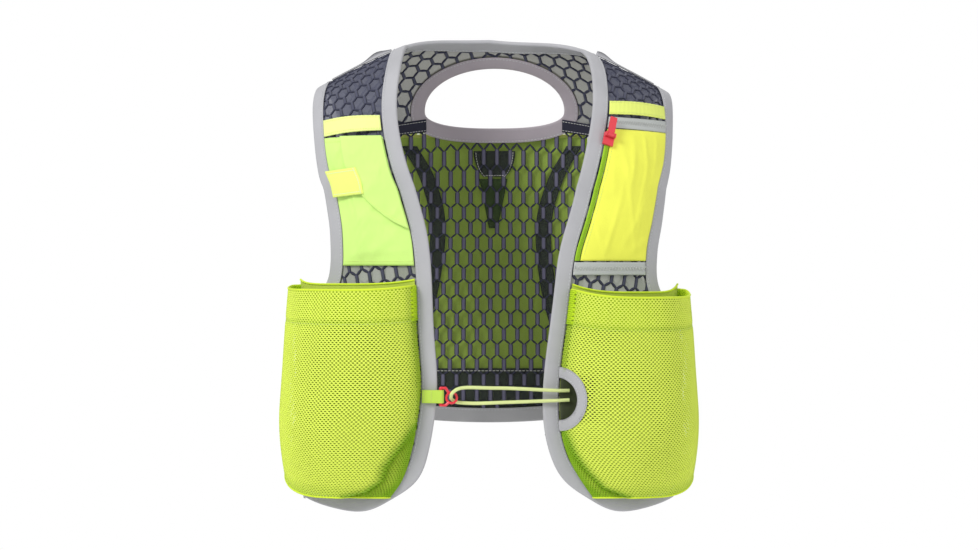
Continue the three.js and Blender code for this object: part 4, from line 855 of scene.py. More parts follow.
def ring_panels():
    rounds = np.linspace(0, 1, 200)
    shares = np.linspace(0.02, 0.98, 24)[None, :]
    for node, edges, net, knit_form in (
        ("yoke", yoke_edges, net_yoke, {"turn": 0.25, "wide": 13.4, "high": 12.2, "half": (1.5, 1.35)}),
        ("back_panel", back_edges, net_back,
         {"turn": 0.0, "half": (2.1, 0.9), "materials": (rib_slate, rib_thin)}),
    ):
        (og, od), (ig, id_) = edges(rounds)
        g = ig[:, None] + (og - ig)[:, None] * shares
        d = id_[:, None] + (od - id_)[:, None] * shares
        panel_piece(node, g, d, net, **knit_form)


# Bottle pockets
# A bottle pocket is fullest at its belly, a share of the way down. Its rim and foot have these shares of that depth.
BELLY, RIM_FULL, FOOT_FULL = 0.6, 0.82, 0.42
# How much the bottom rises towards the outer end, in mm, and the girth of the outer end at the rim and its growth
BOTTOM_RISE, OUTER_GIRTH, OUTER_GROWTH = 20, 1.27, 0.08


def below_belly(down, full):
    """The share of the depth that is left on the way from the belly to the foot."""
    return 1 + (full - 1) * np.clip((down - BELLY) / (1 - BELLY), 0, 1) ** 2


def bottle_depth(share, down):
    bulge = np.sin(math.pi * share ** 0.8) ** 0.7
    top = RIM_FULL + (1 - RIM_FULL) * np.sin(np.clip(down / BELLY, 0, 1) * QUARTER)
    return BOTTLE_EDGE + (BOTTLE_DEPTH - BOTTLE_EDGE) * bulge * top * below_belly(down, FOOT_FULL)


def bottle_place(sign, share, down, rim):
    """The place on the body behind a point of the pocket, whose rim stands up at its ends."""
    bottom = BOTTLE_BOTTOM + BOTTOM_RISE * np.clip((share - 0.4) / 0.6, 0, 1) ** 2
    top = rim + BOTTLE[sign][1] * np.abs(2 * share - 1) ** 4
    d = drop_of(0, top + (bottom - top) * down)
    inner = from_tape(sign, 1, d, sign * (HALF_TAPE + 1))
    outer = sign * (OUTER_GIRTH + OUTER_GROWTH * down)
    return inner + (outer - inner) * share, d


def crease(share, down, line, width, depth):
    """A soft groove along a line of (share, down) points."""
    line = np.array(line, float)
    best = np.full(share.shape, 9.0)
    scale = np.array([1.0, 1.3])
    p = np.stack([share, down], -1) * scale
    for a, b in zip(line[:-1] * scale, line[1:] * scale):
        ab = b - a
        t = np.clip(((p - a) @ ab) / (ab @ ab), 0, 1)
        best = np.minimum(best, np.linalg.norm(p - a - t[..., None] * ab, axis=-1))
    return depth * np.exp(-(best / width) ** 2)


# How far down the pocket's turned hem and its seam reach, as shares
BOTTLE_HEM, BOTTLE_SEAM = 0.16, 0.165
# The fold at a pocket's inner lower corner: shares across and down
GUSSET = {
    -1: [(0.0, 0.66), (0.06, 0.77), (0.1, 0.85), (0.1, 0.92), (0.15, 0.97), (0.26, 1.0)],
    1: [(0.0, 0.64), (0.03, 0.78), (0.06, 0.88), (0.09, 0.95), (0.2, 1.0)],
}


def near(distance, reach):
    """1 at no distance, falling evenly to 0 at the reach."""
    return np.clip(1 - distance / reach, 0, 1)


def front_wall(sign, share, down):
    """Points of a bottle pocket's outer wall, and the per-point value that its material reads: painted shade in the
    crease, the gusset, the side edges, the foot and the hem fold.
    """
    share, down = np.broadcast_arrays(np.clip(share, 0, 1), down)
    g, d = bottle_place(sign, share, down, BOTTLE[sign][0])
    closing = near(share, 0.03) ** 2 + near(1 - share, 0.02) ** 2
    lift = bottle_depth(share, down) - (BOTTLE_EDGE - 0.6) * closing
    shares, downs = np.array(GUSSET[sign]).T
    fold = crease(share, down, GUSSET[sign], 0.02, 1.0)
    behind = np.interp(down, downs, shares) - share
    gusset = np.clip(behind / 0.02 + 0.4, 0, 1) * (down > 0.62)
    hem = np.exp(-((down - BOTTLE_HEM) / 0.014) ** 2)
    sag = 0.9 * np.sin(share * 11 + sign) * np.sin(math.pi * share) * np.exp(-((down - 0.06) / 0.12) ** 2)
    loose = 0.5 * np.sin(share * 7 + down * 5) ** 2 * np.sin(math.pi * down)
    lift = BOTTLE_LIFT + lift * (1 - 0.45 * gusset) - 1.5 * fold - 0.5 * hem + np.minimum(sag, 0) - loose
    # Painted shade: darker along both side edges, at the foot, in the crease, the gusset and the hem fold.
    edge = near(share, 0.05) * 0.35 + near(1 - share, 0.04) * 0.4
    foot = near(1 - down, 0.07) * 0.35
    tone = np.clip(0.5 * fold + 0.6 * gusset + edge + foot + 0.25 * hem, 0, 0.95)
    return skin(g, d, lift), tone


def arc_table(place):
    """Lengths along a line, and the shares that they belong to."""
    t = np.linspace(0, 1, 200)
    return steps_along(place(t)), t


# How far the net's cells stand out at their border and reach in at their hole, in mm
NET_RELIEF, NET_DEEP = 0.28, 0.8


def hole_net(name, surface, level, material, wide=3.8, high=3.4, hole=(0.62, 0.38), cut=None,
             start=0.0, stop=1.0, lower=0.0):
    """A net of six-sided holes on a surface of (share, down), its columns even along the line at a level."""
    across, share_at = arc_table(lambda t: surface(t, level)[0])
    tall, down_at = arc_table(lambda t: surface(0.5, t)[0])
    first, last = np.interp((start, stop), down_at, tall)
    columns = int(round(across[-1] / wide))
    rows = int(round((last - first) / (high / 2)))
    wide, step = across[-1] / columns, (last - first) / rows
    i, j = np.meshgrid(np.arange(columns + 1), np.arange(rows + 1), indexing="ij")
    centre = np.stack([((i + 0.5 * (j % 2)) * wide).ravel(), (first + j * step).ravel()], -1)
    centre = centre[centre[:, 0] <= across[-1] + 0.1]
    if cut is not None:
        u, v = centre.T
        centre = centre[cut(np.interp(u, across, share_at), np.interp(v, tall, down_at))]
    # eight border points, with the hexagon's left and right sides halved, against eight of the hole
    border_points = np.array([(1, 0), (1, 1), (0, 2), (-1, 1), (-1, 0), (-1, -1), (0, -2), (1, -1)])
    ring = border_points * (wide / 2, step / 2)
    angles = np.arange(8) * math.pi / 4
    eye = np.stack([np.cos(angles) * wide * hole[0] / 2, np.sin(angles) * high * hole[1] / 2], -1)
    place = centre[:, None] + np.concatenate([ring, eye, eye])
    share = np.interp(place[..., 0], across, share_at)
    down = np.interp(np.clip(place[..., 1], first, last), tall, down_at)
    points, tone = surface(share, down)
    raised = np.repeat([NET_RELIEF, 0.0, -NET_DEEP], 8) + lower
    points = points + surface_normal(surface, share, down) * raised[:, None]
    k = np.arange(8)
    after = (k + 1) % 8
    base = np.arange(len(centre))[:, None] * 24
    faces = np.vstack([
        np.stack([base + a + k, base + a + after, base + a + 8 + after, base + a + 8 + k], -1).reshape(-1, 4)
        for a in (0, 8)
    ])
    # Painted shade: the inner ring of each hole is darker.
    tone = tone + np.repeat([0, 0, 0.25], 8)
    return make(name, points.reshape(-1, 3), faces, material, uv=place.reshape(-1, 2), tone=tone.ravel())


def surface_normal(surface, share, down):
    step = 0.004
    a = surface(np.clip(share + step, 0, 1), down)[0] - surface(np.clip(share - step, 0, 1), down)[0]
    b = surface(share, np.clip(down + step, 0, 1))[0] - surface(share, np.clip(down - step, 0, 1))[0]
    n = np.cross(a, b)
    n /= np.linalg.norm(n, axis=-1, keepdims=True) + 1e-12
    centre = np.array([0, 0, -200.0])
    outward = surface(share, down)[0] - centre
    flip = np.sign((n * outward).sum(-1, keepdims=True))
    return n * np.where(flip == 0, 1, flip)


def bottle_pocket(sign):
    key = KEYS[sign]

    def wall(share, down):
        return front_wall(sign, share, down)

    def beside_window(share, down):
        p = wall(share, down)[0]
        return np.hypot(p[:, 0] - WINDOW_X, (p[:, 2] - WINDOW_Z) / WINDOW_TALL) > WINDOW_R + WINDOW_CLEAR

    cut = beside_window if sign > 0 else None
    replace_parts(hole_net(f"bottle_net_{key}", wall, 0.45, lime_mesh, cut=cut), f"bottle_pocket_{key}")
    hole_net(f"bottle_hem_{key}", wall, 0.45, lime_hem, wide=2.9, hole=(0.3, 0.2), stop=BOTTLE_SEAM, lower=-1.3)
    # the wall against the panel, in a darker lime that paints the shade inside the pocket
    shares, downs = np.meshgrid(np.linspace(0, 1, 30), np.linspace(0, 1, 30), indexing="ij")
    g, d = bottle_place(sign, shares, downs, BOTTLE[sign][2])
    points = skin(g, d, BOTTLE_LIFT + 0.5).reshape(-1, 3)
    make(f"bottle_back_{key}", points, grid_faces(30, 30), shaded_lime_wall, uv=body_uv(g, d).reshape(-1, 2))
    # rolled rim round the mouth, the seam at the foot and the hem's stitches
    t = np.linspace(0, 1, 80)
    rear = skin(*bottle_place(sign, t, 0, BOTTLE[sign][2]), BOTTLE_LIFT + 0.6)
    tubes(f"bottle_rim_{key}", [wall(t, 0.0)[0], rear], 0.9, lime_rim, 8)
    tubes(f"bottle_foot_{key}", [wall(t, 1.0)[0]], 0.9, lime_rim, 6)
    stitch_lines["lime"] += dashes(wall(t, BOTTLE_SEAM)[0], surface_normal(wall, t, BOTTLE_SEAM), 2.6)


# Rear pocket
REAR_TOP, REAR_FOOT = -36, -262
REAR_RIM = 0.06
REAR_LIFT, REAR_EDGE, REAR_DEPTH, REAR_FOOT_FULL = 4.6, 5.5, 26, 0.35
# Half its width at the top and the foot, as shares of the body's
REAR_HALF_TOP, REAR_HALF_FOOT = 0.53, 0.5


def rear_place(share, down):
    x = HALF_WIDTH * (REAR_HALF_TOP + (REAR_HALF_FOOT - REAR_HALF_TOP) * down) * (1 - 2 * share)
    return back_grid(x, REAR_TOP + (REAR_FOOT - REAR_TOP) * down)


def rear_wall(share, down):
    share, down = np.broadcast_arrays(np.clip(share, 0, 1), down)
    g, d = rear_place(share, down)
    full = np.sin(math.pi * share) ** 0.6 * below_belly(down, REAR_FOOT_FULL)
    lift = REAR_LIFT + REAR_EDGE + (REAR_DEPTH - REAR_EDGE) * full
    lift = lift - 0.9 * np.sin(share * 9 + down * 3) ** 2 * np.sin(math.pi * down)
    # Painted shade: darker along both side edges and at the foot.
    edge = near(share, 0.04) + near(1 - share, 0.04)
    return skin(g, d, lift), np.clip(0.4 * edge + 0.3 * near(1 - down, 0.06), 0, 0.9)


def rear_pocket():
    piece = hole_net("rear_net", rear_wall, 0.4, lime_mesh, wide=4.6, high=4.2, start=REAR_RIM)
    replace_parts(piece, "rear_pocket")
    g, d = rear_place(*np.meshgrid(np.linspace(0, 1, 30), np.linspace(REAR_RIM, 1, 30), indexing="ij"))
    points = skin(g, d, 5.2).reshape(-1, 3)
    make("rear_back", points, grid_faces(30, 30), lime_inside, uv=body_uv(g, d).reshape(-1, 2))
    t = np.linspace(0, 1, 80)
    mouth = [rear_wall(t, REAR_RIM)[0], skin(*rear_place(t, REAR_RIM), 5.4)]
    tubes("rear_rim", mouth, 1.6, yellow_band, 8)
    low = np.linspace(REAR_RIM, 1, 60)
    tubes("rear_seams", [rear_wall(0, low)[0], rear_wall(1, low)[0], rear_wall(low, 1)[0]], 1.1, lime_rim, 6)
    hem = REAR_RIM + 0.06
    stitch_lines["lime"] += dashes(rear_wall(t, hem)[0], surface_normal(rear_wall, t, hem), 2.6)


# Chest
def chest_x(sign, column, z, distance):
    z = np.asarray(z, float)
    x = np.full(z.shape, sign * HALF_WIDTH * 0.7)
    for _ in range(10):
        d = drop_of(x, z)
        x = form(from_tape(sign, column, d, distance), d)[..., 0]
    return x


def chest_grid(sign, inner_z, outer_z, columns, inset=(1, 1)):
    inner_z, outer_z = np.asarray(inner_z, float), np.asarray(outer_z, float)
    a = chest_x(sign, 1, inner_z, sign * (HALF_TAPE + inset[0]))
    b = chest_x(sign, 2, outer_z, -sign * (HALF_TAPE + inset[1]))
    t = np.linspace(0, 1, columns)
    x = a[:, None] + (b - a)[:, None] * t
    z = inner_z[:, None] + (outer_z - inner_z)[:, None] * t
    d = drop_of(x, z)
    return girth_of(x, d), d


def shares_of(g):
    rows, columns = g.shape
    return np.meshgrid(np.linspace(0, 1, rows), np.linspace(0, 1, columns), indexing="ij")


def wrinkles(u, v, count, height, width, lean):
    """Soft ridges across a cloth, faded out at its edges. The lean turns them from across to down."""
    total = np.zeros(u.shape)
    for _ in range(count):
        turn = lean + rng.normal(0, 0.35)
        centre = rng.uniform(0.1, 0.9, 2)
        a, b = math.cos(turn), math.sin(turn)
        off = a * (u - centre[0]) - b * (v - centre[1])
        along = b * (u - centre[0]) + a * (v - centre[1])
        size = width * rng.uniform(0.7, 1.5)
        reach = rng.uniform(0.16, 0.4)
        total += rng.uniform(0.4, 1) * np.exp(-(off / size) ** 2 - (along / reach) ** 2)
    return height * total * np.minimum(1, 12 * u * (1 - u)) * np.minimum(1, 12 * v * (1 - v))


# Heights on the chest as shares of the hem's, and sizes in mm. Tables run from inner end to outer end.
LOOP_R, LOOP_R_TALL = (0.104, 0.112), (0.034, 0.037)
STASH_TOP, STASH_FOOT = 0.1525, 0.4395
STASH_BAND = [(0.02, 0.48), (0.12, 0.68), (0.38, 0.84), (0.85, 0.93)]
FLAP_FOOT = [(0, 0.358), (0.35, 0.337), (0.7, 0.3), (1, 0.258)]
FLAP_PUFF, TAB_TOP, TAB_TALL, TAB_LONG, TAB_TILT = 0.9, -87, 22, 25, 3
LOOP_L = [(0, 0.071), (0.5, 0.087), (1, 0.101)], [(0, 0.078), (0.5, 0.092), (1, 0.107)]
ZIP_BAND_TOP = [(0, 0.107), (0.5, 0.118), (1, 0.131)], [(0, 0.112), (0.5, 0.125), (1, 0.138)]
ZIP_BAND_BOTTOM = ([(0, 0.432), (0.5, 0.446), (1, 0.461)],) * 2
ZIP_TOP, ZIP_FOOT, ZIP_INSET, ZIP_WIDE = 0.134, 0.429, 6.2, 4
ON_PANEL = TRIM_LIFT + CLOTH
FINE, FINER = 2.4, 2.2


def elastic(name, node, g, d, bow, material):
    """A loop of elastic cloth that stands off the panel in its middle."""
    _, v = shares_of(g)
    top = ON_PANEL + bow * np.sin(math.pi * v) + 0.15 * np.sin(v * 90)
    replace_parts(sheet(name, g, d, top, material), node)
    for row in (2, -3):
        stitch("lime", g[row], d[row], top[row] + THREAD_LIFT, FINE)


def right_chest():
    t = np.linspace(0, 1, 16)
    inner, outer = (HEM_Z * (start + tall * t) for start, tall in zip(LOOP_R, LOOP_R_TALL))
    elastic("elastic_r", "loop_band_r", *chest_grid(-1, inner, outer, 50), 3, pale_band)
    rows = HEM_Z * (STASH_TOP + (STASH_FOOT - STASH_TOP) * np.linspace(0, 1, 60))
    g, d = chest_grid(-1, rows, rows, 50)
    u, v = shares_of(g)
    bowed = np.sin(math.pi * v)
    puff = 1.2 * np.sin(math.pi * u) * bowed + 1.5 * (1 - u) ** 3 * bowed
    gather = 0.35 * np.sin(v * 17 + 3 * u) * np.exp(-((u - 0.05) / 0.2) ** 2) * bowed
    fold = -0.5 * np.exp(-((v - 0.78 + 0.05 * u) / 0.02) ** 2)
    band = crease(v, u, STASH_BAND, 0.05, 0.7) * (u < 0.98) * (u > 0.02)
    top = ON_PANEL + puff + gather + fold + band
    top = top + wrinkles(u, v, count=16, height=0.9, width=0.03, lean=0.7)
    top = top + wrinkles(u, v, count=8, height=0.7, width=0.035, lean=1.5)
    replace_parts(sheet("chest_pocket_r", g, d, top, pale_cloth), "stash_pocket")
    for row in (2, -3):
        stitch("lime", g[row], d[row], top[row] + THREAD_LIFT, FINE)
    # the flap over it, with a rolled lower edge
    t = np.linspace(0, 1, 50)
    z = HEM_Z * (STASH_TOP + (read(FLAP_FOOT, 1, t) - STASH_TOP) * t[:, None])
    inner = chest_x(-1, 1, z, -(HALF_TAPE + 1))
    outer = chest_x(-1, 2, z, HALF_TAPE + 18)
    x = inner + (outer - inner) * t
    d = drop_of(x, z)
    g = girth_of(x, d)
    u, v = shares_of(g)
    wave = 0.25 * np.sin(v * 12 + u * 6) * u
    wave = wave + np.abs(wrinkles(u, v, count=12, height=0.8, width=0.035, lean=0.9)) + FLAP_PUFF
    top = ON_PANEL + 1.5 + FIT + CLOTH + wave
    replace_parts(sheet("chest_flap_r", g, d, top, pale_cloth), "stash_flap")
    stitch("lime", g[-4], d[-4], top[-4] + THREAD_LIFT, FINE)
    # its tab
    top = ON_PANEL + 1.5 + FIT + 2 * CLOTH + FIT + FLAP_PUFF
    z = TAB_TOP - TAB_TALL * np.linspace(0, 1, 20)
    t = np.linspace(0, 1, 26)
    x = chest_x(-1, 2, z, HALF_TAPE + 0.5)[:, None] + TAB_LONG * t
    d = drop_of(x, z[:, None] + TAB_TILT * t)
    g = girth_of(x, d)
    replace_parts(sheet("flap_tab_cloth", g, d, top, tab_cloth), "flap_tab")
    for row in (2, -3):
        stitch("white", g[row, 1:-1], d[row, 1:-1], top + THREAD_LIFT, FINER)
    stitch("white", g[:, -3], d[:, -3], top + THREAD_LIFT, FINER)


def left_chest():
    t = np.linspace(0, 1, 16)

    def band_grid(inner, outer):
        return chest_grid(1, HEM_Z * read(inner, 1, t), HEM_Z * read(outer, 1, t), 50)

    elastic("elastic_l", "loop_band_l", *band_grid(*LOOP_L), 2, yellow_band)
    for node, ends in (("zip_band_top", ZIP_BAND_TOP), ("zip_band_bottom", ZIP_BAND_BOTTOM)):
        g, d = band_grid(*ends)
        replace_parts(sheet(f"{node}_cloth", g, d, ON_PANEL, grey_band), node)
        zig = np.arange(50)
        rows = np.where(zig % 2, 5, 10)
        stitch_lines["white"].append(skin(g[rows, zig], d[rows, zig], ON_PANEL + 0.12))
    inner = ZIP_TOP + (ZIP_FOOT - ZIP_TOP) * np.linspace(0, 1, 70)
    outer = inner + 0.005 * np.linspace(1, 0, 70)
    g, d = chest_grid(1, HEM_Z * inner, HEM_Z * outer, 50, (ZIP_INSET, 1))
    u, v = shares_of(g)
    bowed = np.sin(math.pi * u) * np.sin(math.pi * v)
    folds = 0.3 * np.sin(u * 9 + v * 5) * bowed
    folds = folds + wrinkles(u, v, count=12, height=0.75, width=0.035, lean=1.45)
    folds = folds + wrinkles(u, v, count=4, height=0.6, width=0.03, lean=0.3)
    top = ON_PANEL + 3.2 * bowed
    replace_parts(sheet("zip_pocket_cloth", g, d, top + folds, yellow_cloth), "zip_pocket")
    stitch("lime", g[2:-2, 2], d[2:-2, 2], top[2:-2, 2] + THREAD_LIFT, FINE)
    # zip: cloth with a coil of teeth
    z = HEM_Z * np.linspace(ZIP_TOP + 0.0005, ZIP_FOOT, 90)
    first = chest_x(1, 1, z, HALF_TAPE + ZIP_INSET - ZIP_WIDE - 1)
    x = first[:, None] + ZIP_WIDE * np.linspace(0, 1, 6)
    d = drop_of(x, z[:, None])
    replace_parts(sheet("zip_cloth_strip", girth_of(x, d), d, ON_PANEL, zip_green), "zip_tape")
    at, rows = np.linspace(0, 1, 150), np.linspace(0, 1, 90)
    x = np.interp(at, rows, first + ZIP_WIDE / 2)
    z = np.interp(at, rows, z)
    teeth = []
    for k in range(8, 149):
        way = 1 if k % 2 else -1
        xs = x[k] + way * np.array([-0.65, -0.55, 1.25, 1.35])
        d = drop_of(xs, z[k])
        teeth.append(skin(girth_of(xs, d), d, np.array([3.3, 4.0, 4.0, 3.3])))
    tubes("zip_teeth", teeth, 0.28, zip_green, 5)


# Back trims, seams and shoulders
STRAP = [
    (0, 0.44, 0.47), (0.15, 0.34, 0.37), (0.35, 0.285, 0.305), (0.6, 0.31, 0.32), (0.85, 0.38, 0.385),
    (1, 0.42, 0.43),
]


def back_grid(x, z):
    d = drop_of(x, z)
    return girth_of(x, d, True), d


STRAP_TOP, STRAP_FOOT, STRAP_HALF = -58, -255, 7
PATCH_TOP, PATCH_TALL, PATCH_HALF = -62, 23, 19
HANGER_TOP, HANGER_TALL, HANGER_HALF, HANGER_TAPER = -87, 45, 13, 9
BACKING_TOP, BACKING_HALF, BACKING_RISE = -260.5, 0.7, 8
BEHIND_BACK, INSIDE_BACK = -0.6, -0.35


def back_trims():
    low = TRIM_LIFT + 0.4 + CLOTH
    t = np.linspace(0, 1, 60)
    z = (STRAP_TOP + (STRAP_FOOT - STRAP_TOP) * t)[:, None]
    for sign, column in ((-1, 1), (1, 2)):
        x = sign * HALF_WIDTH * read(STRAP, column, t)
        g, d = back_grid(x[:, None] + np.linspace(STRAP_HALF, -STRAP_HALF, 8), z)
        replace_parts(sheet(f"strap_{KEYS[sign]}", g, d, low, dark_cloth), f"rear_strap_{KEYS[sign]}")
    down = np.linspace(0, 1, 20)[:, None]
    half = PATCH_HALF * np.sqrt(1 - (down * 0.85) ** 2)
    g, d = back_grid(CUTOUT["x"] + half * np.linspace(1, -1, 20), PATCH_TOP - PATCH_TALL * down)
    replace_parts(sheet("hanger_patch_cloth", g, d, low, dark_cloth), "hanger_patch")
    sewn = [np.concatenate([v[:, 1], v[-2, 2:-2], v[::-1, -2]]) for v in (g, d)]
    stitch("white", *sewn, BEHIND_BACK, FINE, inner=True)
    half = HANGER_HALF - HANGER_TAPER * down
    g, d = back_grid(CUTOUT["x"] - 1 + half * np.linspace(1, -1, 12), HANGER_TOP - HANGER_TALL * down)
    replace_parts(sheet("hanger_strap_cloth", g, d, low, green_strap), "hanger_strap")
    x = np.linspace(1, -1, 120) * HALF_WIDTH * BACKING_HALF
    foot = HEM_Z * (HEM_SIDE + (HEM_MIDDLE - HEM_SIDE) * (1 - (x / 147) ** 2)) + BACKING_RISE
    z = BACKING_TOP + (foot - BACKING_TOP) * np.linspace(0, 1, 12)[:, None]
    g, d = back_grid(x, z)
    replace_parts(sheet("hem_backing_cloth", g, d, low, dark_cloth), "hem_backing")
    sewn = g[0, 4:-4], d[0, 4:-4] + 0.008
    stitch("white", *sewn, INSIDE_BACK, 3.4, inner=True)
    stitch("white", *sewn, low + THREAD_LIFT, 3.4)


SEAM_SPAN, SEAM_HALF, SEAM_LIFT = (0.07, 0.82), 0.032, -0.85


def seam_bands():
    for key, at in (("r", 0.0), ("l", 1.0)):
        outer, inner = (np.array([g[0], d[0]]) for g, d in yoke_edges(np.array([at])))
        line_g, line_d = (inner + (outer - inner) * np.linspace(*SEAM_SPAN, 30)[:, None]).T
        g = np.tile(line_g, (8, 1))
        d = line_d + 0.003 + np.linspace(-SEAM_HALF, SEAM_HALF, 8)[:, None]
        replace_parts(sheet(f"seam_{key}", g, d, SEAM_LIFT, dark_cloth), f"seam_band_{key}")
        for row in (1, -2):
            stitch("white", g[row], d[row], SEAM_LIFT - CLOTH - 0.02, 2.6, inner=True)
            stitch("white", g[row], d[row], 2.0, 2.6)
        tubes(f"seam_cord_{key}", [skin(g[4], d[4], 0.9)], 1.3, dark_cloth, 6)


# The shoulder tape's drop at its narrow and wide ends, and the hump where it stands off the shoulder
SHOULDER_NARROW, SHOULDER_WIDE = 0.012, 0.055
HUMP, HUMP_X, HUMP_WIDTH = 3.4, 97, 9


def shoulder_tapes():
    for sign in (-1, 1):
        inner = abs(form(from_tape(sign, 1, RIDGE, sign * (HALF_TAPE + 1.5)), RIDGE)[0])
        outer = abs(form(from_tape(sign, 2, RIDGE, -sign * (HALF_TAPE + 1.5)), RIDGE)[0])
        t = np.linspace(0, 1, 40)
        x = sign * (inner + (outer - inner) * t)
        front = SHOULDER_WIDE + (SHOULDER_NARROW - SHOULDER_WIDE) * t
        back = SHOULDER_NARROW + (SHOULDER_WIDE - SHOULDER_NARROW) * t
        points, normal = np.zeros((2, 15, 40, 3))
        for row, k in enumerate(np.linspace(-1, 1, 15)):
            d = abs(k) * (front if k < 0 else back)
            g = girth_of(x, d, k > 0)
            points[row] = form(g, d)
            normal[row] = slopes(g, np.maximum(d, 0.001))[2]
        # the middle rows lie on the ridge, where front and back meet
        normal[7] = (normal[6] + normal[8]) / 2
        for _ in range(3):
            for rows in (points, normal):
                rows[6:9] = (rows[5:8] + rows[6:9] + rows[7:10]) / 3
        lift = TRIM_LIFT + 1.0 + HUMP * np.exp(-((np.abs(x) - HUMP_X) / HUMP_WIDTH) ** 2)
        uv = np.stack(np.meshgrid(np.arange(15) * 1.2, np.arange(40) * 1.4, indexing="ij"), -1)
        top, under = points + normal * lift[:, None], points + normal * (TRIM_LIFT + 0.1)
        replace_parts(shell(f"shoulder_{KEYS[sign]}", top, under, uv, grey_tape), f"shoulder_tape_{KEYS[sign]}")


# Window and fastening
# The window's tape: distances from the hole's edge and lifts in mm, and half its sweep in degrees
WINDOW_RINGS, WINDOW_LIFTS, WINDOW_SWEEP = np.array([0.6, 2.0, 4.5, 7.2, 9.0]), (1.3, 2.2, 2.4, 2.2, 1.4), 87
# The cloth in the window: half height, far side and lift
PATCH_HIGH, PATCH_FAR, PATCH_LIFT = 18.5, 88, 6.1


def window():
    t = np.linspace(1, -1, 60)[:, None] * math.radians(WINDOW_SWEEP)
    radius = WINDOW_R + WINDOW_RINGS
    x = WINDOW_X + radius * np.cos(t)
    z = WINDOW_Z + WINDOW_TALL * radius * np.sin(t)
    # how far forward the pocket's wall is at each x and z
    near_window = np.meshgrid(np.linspace(0, 0.5, 160), np.linspace(0.25, 0.75, 120), indexing="ij")
    wall = front_wall(1, *near_window)[0].reshape(-1, 3)
    y = np.array([wall[np.argmin((wall[:, 0] - a) ** 2 + (wall[:, 2] - b) ** 2), 1]
                  for a, b in zip(x.T.ravel(), z.T.ravel())])
    y = softened(y, y, 2)[0].reshape(5, 60).T
    top, low = (np.stack([x, y - lift, z], -1) for lift in (WINDOW_LIFTS, 1.0))
    uv = np.stack(np.broadcast_arrays(t * WINDOW_R, WINDOW_RINGS), -1)
    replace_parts(shell("window_binding", top, low, uv, grey_tape), "window_tape")
    down = np.linspace(WINDOW_Z + PATCH_HIGH, WINDOW_Z - PATCH_HIGH, 16)
    d = np.repeat(drop_of(0, down)[:, None], 16, 1)
    inner = from_tape(1, 1, d[:, 0], HALF_TAPE + 1)[:, None]
    g = inner + (girth_of(PATCH_FAR, d) - inner) * np.linspace(0, 1, 16)
    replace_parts(sheet("window_cloth", g, d, PATCH_LIFT, olive_lining), "cord_patch")
    for ring in (1, 3):
        stitch_lines["grey"] += dashes(top[:, ring] + (0, -0.08, 0), FORWARD, 2.6)


def strap_tab():
    """The folded strap that holds the hook, laid over the CAD tab, with two rows of stitches."""
    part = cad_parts["webbing_tab"]
    corners = np.array([tuple(part.matrix_world @ vertex.co) for vertex in part.data.vertices]) / MM
    low, high = corners.min(0), corners.max(0)
    middle = (low + high) / 2
    tree = BVHTree.FromPolygons([tuple(c) for c in corners], [tuple(p.vertices) for p in part.data.polygons])
    across = np.sin(np.linspace(-1, 1, 18) * QUARTER)
    x, z = np.meshgrid(np.linspace(low[0] + 0.1, high[0] - 0.1, 48),
                       middle[2] + (high[2] - low[2]) * 0.48 * across, indexing="ij")

    def laid(start, way):
        hits = [tree.ray_cast((a, start, b), (0, way, 0))[0] or (a, middle[1], b)
                for a, b in zip(x.ravel(), z.ravel())]
        return np.array([tuple(hit) for hit in hits]).reshape(48, 18, 3)

    front, rear = laid(low[1] - 5, 1), laid(high[1] + 5, -1)
    weave = 0.12 * np.sin(x * 2 * math.pi / 1.3) * (1 - across ** 6)
    front[..., 1] -= 0.2 * (1 - across ** 8) + weave
    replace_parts(shell("strap_tab", front, rear, np.stack([x, z], -1), webbing), "webbing_tab")
    for row in (4, 20):
        stitch_lines["lime"] += dashes(front[row, 1:-1] + (0, -0.1, 0), FORWARD, 1.8)


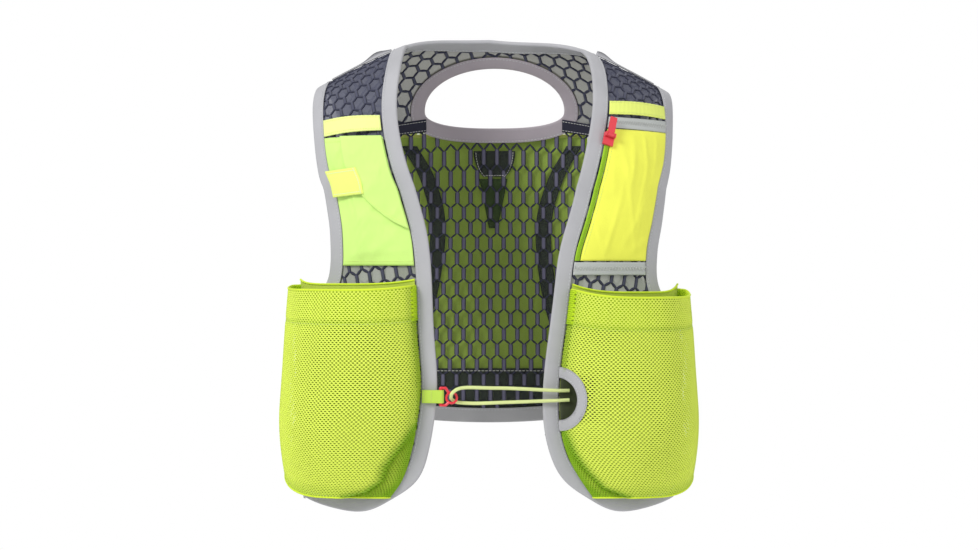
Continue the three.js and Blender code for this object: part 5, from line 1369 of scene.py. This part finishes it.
for side in (-1, 1):
    front_panel(side)
    front_tapes(side)
    wing(side)
    bottle_pocket(side)
ring_panels()
back_tapes()
rear_pocket()
right_chest()
left_chest()
back_trims()
seam_bands()
shoulder_tapes()
window()
strap_tab()
for colour, lines in stitch_lines.items():
    tubes(f"stitches_{colour}", lines, STITCH_RADIUS, thread[colour], 4)

cord.data.materials.append(cord_cloth)
for node, material in (("hook", red_gloss), ("zip_slider", red_paint), ("zip_pull", red_paint)):
    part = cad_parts[node]
    for slot in part.material_slots:
        slot.material = material


# Stage and light
white = Nodes("stage_white", Base_Color=(0.9, 0.9, 0.9, 1), Roughness=1.0)
mesh = bpy.data.meshes.new("floor")
FLOOR_HALF, FLOOR_Z = 0.6, -0.62
corners = [(FLOOR_HALF * x, FLOOR_HALF * y, FLOOR_Z) for x, y in ((-1, -1), (1, -1), (1, 1), (-1, 1))]
mesh.from_pydata(corners, [], [(0, 1, 2, 3)])
floor = bpy.data.objects.new("floor", mesh)
mesh.materials.append(white.material)
bpy.context.collection.objects.link(floor)

world = bpy.data.worlds.new("world")
bpy.context.scene.world = world
world.use_nodes = True
sky = world.node_tree.nodes["Background"]
sky.inputs[0].default_value = (1, 1, 1, 1)
seen = world.node_tree.nodes.new("ShaderNodeLightPath")
strength = world.node_tree.nodes.new("ShaderNodeMapRange")
strength.inputs["To Min"].default_value = 0.68
strength.inputs["To Max"].default_value = 1.0
world.node_tree.links.new(seen.outputs["Is Camera Ray"], strength.inputs["Value"])
world.node_tree.links.new(strength.outputs[0], sky.inputs[1])


def light(name, place, target, size, power):
    lamp = bpy.data.lights.new(name, "AREA")
    lamp.size = size
    lamp.energy = power
    piece = bpy.data.objects.new(name, lamp)
    bpy.context.collection.objects.link(piece)
    piece.location = place
    piece.rotation_euler = (Vector(target) - Vector(place)).to_track_quat("-Z", "Y").to_euler()


light("key", (-1.1, -1.3, 0.9), (0, 0, -0.15), size=0.6, power=22)
light("fill", (1.4, -1.4, 0.1), (0, 0, -0.18), size=1.4, power=7)
light("back", (0.2, 1.6, 0.8), (0, 0, -0.15), size=1.2, power=9)
bpy.context.scene.view_settings.view_transform = "Standard"
